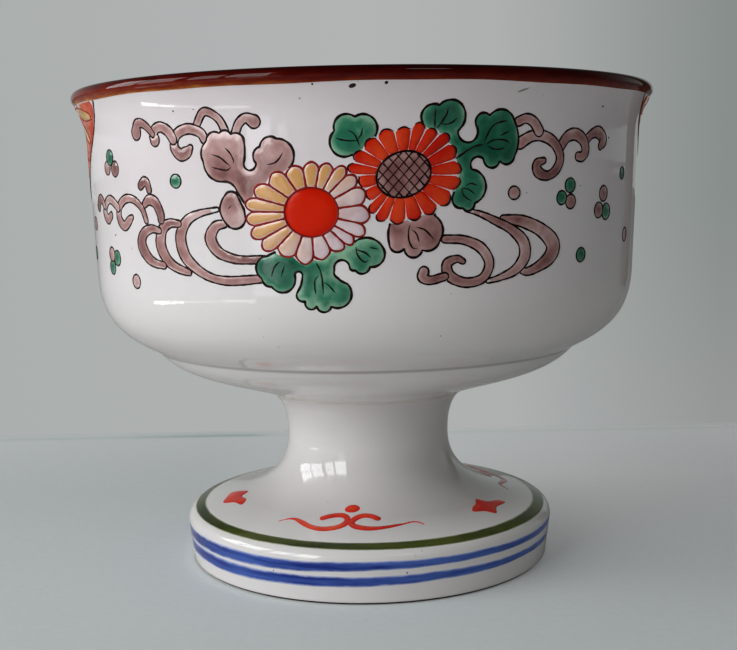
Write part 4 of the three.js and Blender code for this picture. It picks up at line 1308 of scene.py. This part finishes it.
def specks():
    """Iron specks in the glaze of the wall and foot, and a grey smear under the lip."""
    iron = line_material("iron_speck", (24, 14, 11), (64, 42, 32))
    wall, side = wall_surface(0), upright_surface(FOOT_SIDE, 0, 0)
    for name, places, surface in (("iron_specks", SPECKS, wall), ("foot_specks", FOOT_SPECKS, side)):
        spots = Paint()
        for x, y, *reach in places:
            spots.patch(ellipse((x, y), reach, 0.3, 12), (), 0.06, 0.4, 0.25)
        spots.lay(name, surface, (iron, "glazed_body"))
    smear = Paint()
    smear.stroke(SMEAR, 0.5, 0.05, taper=1.5)
    grey = line_material("grey_smear", (120, 128, 112), (156, 158, 146))
    smear.lay("glaze_smear", wall, (grey, "glazed_body"))


# The room, in metres

LAMP_AIM = Vector((0, 0, 0.08))
BACKDROP_START = 0.151
FLOOR_HALF = 6.0
# Panes of the mirrored window: azimuths to the left, heights and a radiance
PANE_DISTANCE = 0.45
PANES = [
    (26.4, 29.8, 0.06, 0.125, 1.8), (32.5, 41.5, 0.002, 0.05, 2.5), (32.5, 41.5, 0.06, 0.125, 3.2),
    (45, 58, 0.01, 0.12, 0.5), (61, 72, 0.01, 0.12, 0.45), (75, 101, 0.01, 0.12, 0.4),
    (31, 46, 0.132, 0.37, 8.5), (49, 61, 0.14, 0.37, 7), (67, 84, 0.14, 0.24, 7.5),
    (67, 84, 0.25, 0.37, 8), (86, 103, 0.14, 0.24, 7.5), (86, 103, 0.25, 0.37, 8),
    (-37, -19, 0.5, 0.62, 6),
]
# Sunlit strips on the table: azimuths to the left, distance and a radiance
SUNLIT_HALF = 0.018
SUNLIT_HEIGHT = 0.001
SUNLIT = [
    (40, 54, 0.316, 3.8), (55, 63, 0.311, 2.2), (63, 71, 0.308, 2.6), (71.5, 79, 0.305, 7.5),
    (79.5, 89, 0.302, 8),
]


def around(azimuth, distance, height):
    """A place seen from the bowl, with the azimuth in degrees to the left of the viewer."""
    angle = math.radians(azimuth)
    return (-distance * math.sin(angle), -distance * math.cos(angle), height)


def sheet_between(start, end, first, second):
    """Corners between two azimuths and two pairs of a distance and a height."""
    return [around(start, *first), around(end, *first), around(end, *second), around(start, *second)]


def mirrored_sheet(name, quads, glows, colour):
    """Bright or dark sheets that are only seen mirrored in the glaze."""
    nodes = material_nodes(name)
    shine = nodes.value("Emission", 0, {"Color": colour, "Strength": nodes.carried("glow")})
    nodes.add("OutputMaterial", {"Surface": shine})
    faces = [tuple(range(start, start + 4)) for start in range(0, len(quads) * 4, 4)]
    sheet = add_mesh(name, [corner for quad in quads for corner in quad], faces, nodes.owner)
    add_values(sheet, glow=np.repeat(np.array(glows, dtype=float), 4))
    sheet.visible_camera = sheet.visible_diffuse = sheet.visible_shadow = False
    sheet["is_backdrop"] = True


def mirrored_window():
    panes = [
        sheet_between(start, end, (PANE_DISTANCE, low), (PANE_DISTANCE, high))
        for start, end, low, high, _ in PANES]
    mirrored_sheet("mirrored_window", panes, [pane[-1] for pane in PANES], (240, 242, 244))
    strips = [
        sheet_between(
            start, end, (reach - SUNLIT_HALF, SUNLIT_HEIGHT), (reach + SUNLIT_HALF, SUNLIT_HEIGHT))
        for start, end, reach, _ in SUNLIT]
    mirrored_sheet("sunlit_strip", strips, [strip[-1] for strip in SUNLIT], (246, 244, 240))
    # A dark brown sheet seen only mirrored: a painted dark reflection on the right of the wall.
    card = sheet_between(-127, -141, (0.5, 0), (0.5, 0.7))
    mirrored_sheet("dark_reflection_sheet", [card], [1], (62, 50, 42))


def area_light(name, place, width, height, radiance):
    """A lamp that lights the bowl and isn't seen or mirrored itself."""
    light = bpy.data.lights.new(name, "AREA")
    light.shape = "RECTANGLE"
    light.size, light.size_y = width, height
    light.energy = radiance * math.pi * width * height
    lamp = add_object(name, light)
    lamp.location = place
    lamp.rotation_euler = (LAMP_AIM - Vector(place)).to_track_quat("-Z", "Y").to_euler()
    lamp.visible_camera = lamp.visible_glossy = False


def light_room():
    """Two lamps, and a world that differs for the viewer, for mirrored and for lit surfaces."""
    area_light("window_light", around(57, 1.0, 0.46), 1.1, 0.85, 3.22)
    area_light("room_light", around(-22, 1.0, 0.4), 0.8, 0.6, 0.27)
    world = bpy.data.worlds.new("room")
    bpy.context.scene.world = world
    nodes = Nodes(world)
    right, ahead, up = nodes.axes("Generated")
    # The backdrop that the viewer sees, with painted shade that darkens it towards the right, away from
    # the window, most of all higher up.
    slant = right / ahead.maths("MAXIMUM", ahead, 0.35) * 1.6 + 0.5
    upper = slant.ramp(
        (0.0, (171, 175, 174)), (0.5, (178, 180, 180)), (0.68, (173, 175, 174)),
        (0.78, (162, 166, 165)), (0.88, (149, 154, 152)), (0.99, (136, 142, 140)))
    lower = slant.ramp(
        (0.0, (171, 175, 174)), (0.7, (173, 176, 175)), (0.8, (164, 167, 167)),
        (0.99, (153, 155, 154)))
    seen = (up * 3 + 0.75).ramp((0.0, 0.0), (0.7, 1.0)).mixed(lower, upper)
    behind = (ahead + 0.4).ramp((0.5, (80, 78, 76)), (0.95, (160, 166, 164)))
    mirrored = up.ramp((0.12, 1.0), (0.6, 0.1)).mixed((52, 50, 50), behind)
    window_side = up.ramp((0.0, (70, 70, 71)), (0.35, (96, 96, 98)), (0.8, (136, 138, 140)))
    dark_side = up.ramp((0.0, (24, 24, 24)), (0.35, (102, 102, 101)), (0.8, (130, 132, 133)))
    ambient = (right * 0.6 + 0.5).mixed(window_side, dark_side)
    lit = nodes.ray("Glossy").mixed(ambient, mirrored)
    sky = nodes.value("Background", 0, {"Color": nodes.ray("Camera").mixed(lit, seen)})
    nodes.add("OutputWorld", {"Surface": sky})


def floor():
    """A pale sheet that the viewer sees up to the line where the backdrop starts, brightened for the
    viewer by painted light and with a streak of painted shade along that line.
    """
    nodes = material_nodes("pale_sheet")
    viewed = nodes.ray("Camera")
    x, y, _ = nodes.axes()
    depth = y - BACKDROP_START + (nodes.noise(3, 2) - 0.5) * 0.006
    behind = (depth * 40).ramp((0.0, 0.0), (0.3, 1.0))
    grain = nodes.noise(500, 3).ramp((0.3, (200, 207, 208)), (0.7, (204, 211, 212)))
    # Painted shade: a darker greenish streak just in front of the line where the backdrop starts,
    # strongest in one stretch on the left.
    nearly = (depth * 90 + 1.0).ramp((0.35, 0.0), (0.75, 0.9), (0.99, 0.2))
    streak = nearly * (x * 2.5 + 1.0).ramp(
        (0.1, 0.4), (0.74, 0.3), (0.825, 1.0), (0.88, 1.0), (0.905, 0.2), (1.0, 0.25))
    seen = streak.mixed(grain, (125, 165, 155))
    across, distance = x * 2.5 + 0.5, y * 4 + 0.4
    # The colour that lit surfaces get back from the sheet, darker to the right, so that less light
    # bounces onto the bowl's right side.
    bounced = across.ramp((0.5, (212, 212, 210)), (0.85, (192, 192, 189)))
    # Painted light: a glow seen only by the viewer, stronger to the right and further back, against the
    # bowl's shadow and the lamp's fall-off.
    lift = across.ramp((0.35, 0.0), (0.58, 1.0), (0.68, 1.0), (0.8, 0.7), (1.0, 0.65)).mixed(
        distance.ramp((0.64, 0.09), (0.96, 0.165)),
        distance.ramp((0.3, 0.09), (0.52, 0.2), (0.7, 0.27), (0.96, 0.255)))
    sheet_shader = nodes.value("BsdfPrincipled", "BSDF", {
        "Base Color": viewed.mixed(bounced, seen), "Roughness": 0.75, "Specular IOR Level": 0.1,
        "Emission Color": (230, 230, 227), "Emission Strength": viewed * lift})
    either = nodes.value("MixShader", 0, {
        "Fac": behind * viewed, 1: sheet_shader, 2: nodes.value("BsdfTransparent", 0)})
    nodes.add("OutputMaterial", {"Surface": either})
    half = FLOOR_HALF
    corners = [(-half, -half, 0), (half, -half, 0), (half, half, 0), (-half, half, 0)]
    sheet = add_mesh("floor", corners, [(0, 1, 2, 3)], nodes.owner)
    sheet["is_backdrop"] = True


# Camera fitted to the photograph, in metres and radians, with its focal length in pixels
CAMERA_PLACE = (0.0, -0.31854, 0.09938)
CAMERA_YAW, CAMERA_PITCH, CAMERA_ROLL = -0.00198, -0.117426, -0.0172994
FOCAL_PIXELS, PHOTO_WIDTH, SENSOR_WIDTH = 1169.25, 737, 36.0


def camera():
    data = bpy.data.cameras.new("camera")
    data.sensor_fit = "HORIZONTAL"
    data.sensor_width = SENSOR_WIDTH
    data.lens = FOCAL_PIXELS * SENSOR_WIDTH / PHOTO_WIDTH
    data.clip_start = 0.01
    stand = add_object("camera", data)
    turn = Matrix.Translation(CAMERA_PLACE)
    for angle, axis in (
            (CAMERA_YAW, "Z"), (CAMERA_PITCH, "X"), (-CAMERA_ROLL, "Y"), (math.pi / 2, "X")):
        turn = turn @ Matrix.Rotation(angle, 4, axis)
    stand.matrix_world = turn
    bpy.context.scene.camera = stand


bpy.context.scene.view_settings.view_transform = "Standard"
camera()
light_room()
mirrored_window()
floor()
bowl(glaze_material(
    "bowl_glaze", (228, 219, 223), (233, 227, 230), (236, 233, 233), (235, 235, 233), 8))
pedestal(
    glaze_material(
        "foot_glaze", (226, 225, 225), (232, 231, 230), (236, 235, 232), (227, 225, 224), 25),
    # The unglazed bearing ring, near black: partly its own bare colour, partly painted shade where the
    # foot meets the floor.
    mottled_material(
        "bare_clay_and_contact_shade", (300, 4), ((0.3, (28, 22, 18)), (0.7, (62, 50, 40))), (1500, 3, 0.0001),
        0.8, 0.3))
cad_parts["slip_joint"].data.materials[0] = mottled_material(
    "fired_slip", (260, 4), ((0.3, (198, 190, 176)), (0.7, (220, 213, 200))), (900, 3, 0.00008),
    0.75, 0.3)
painted = painted_finishes()
lip_band()
foot_lines()
spray = Spray()
spray.lay(0, "", painted, set(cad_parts))
spray.lay(math.pi, "_back", painted, ())
panel("left_panel", SPRAY_AZIMUTH - math.pi / 2, painted)
panel("right_panel", SPRAY_AZIMUTH + math.pi / 2, painted)
foot_motifs(painted["red"])
specks()
sizes["before_finish"] = plain(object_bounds())
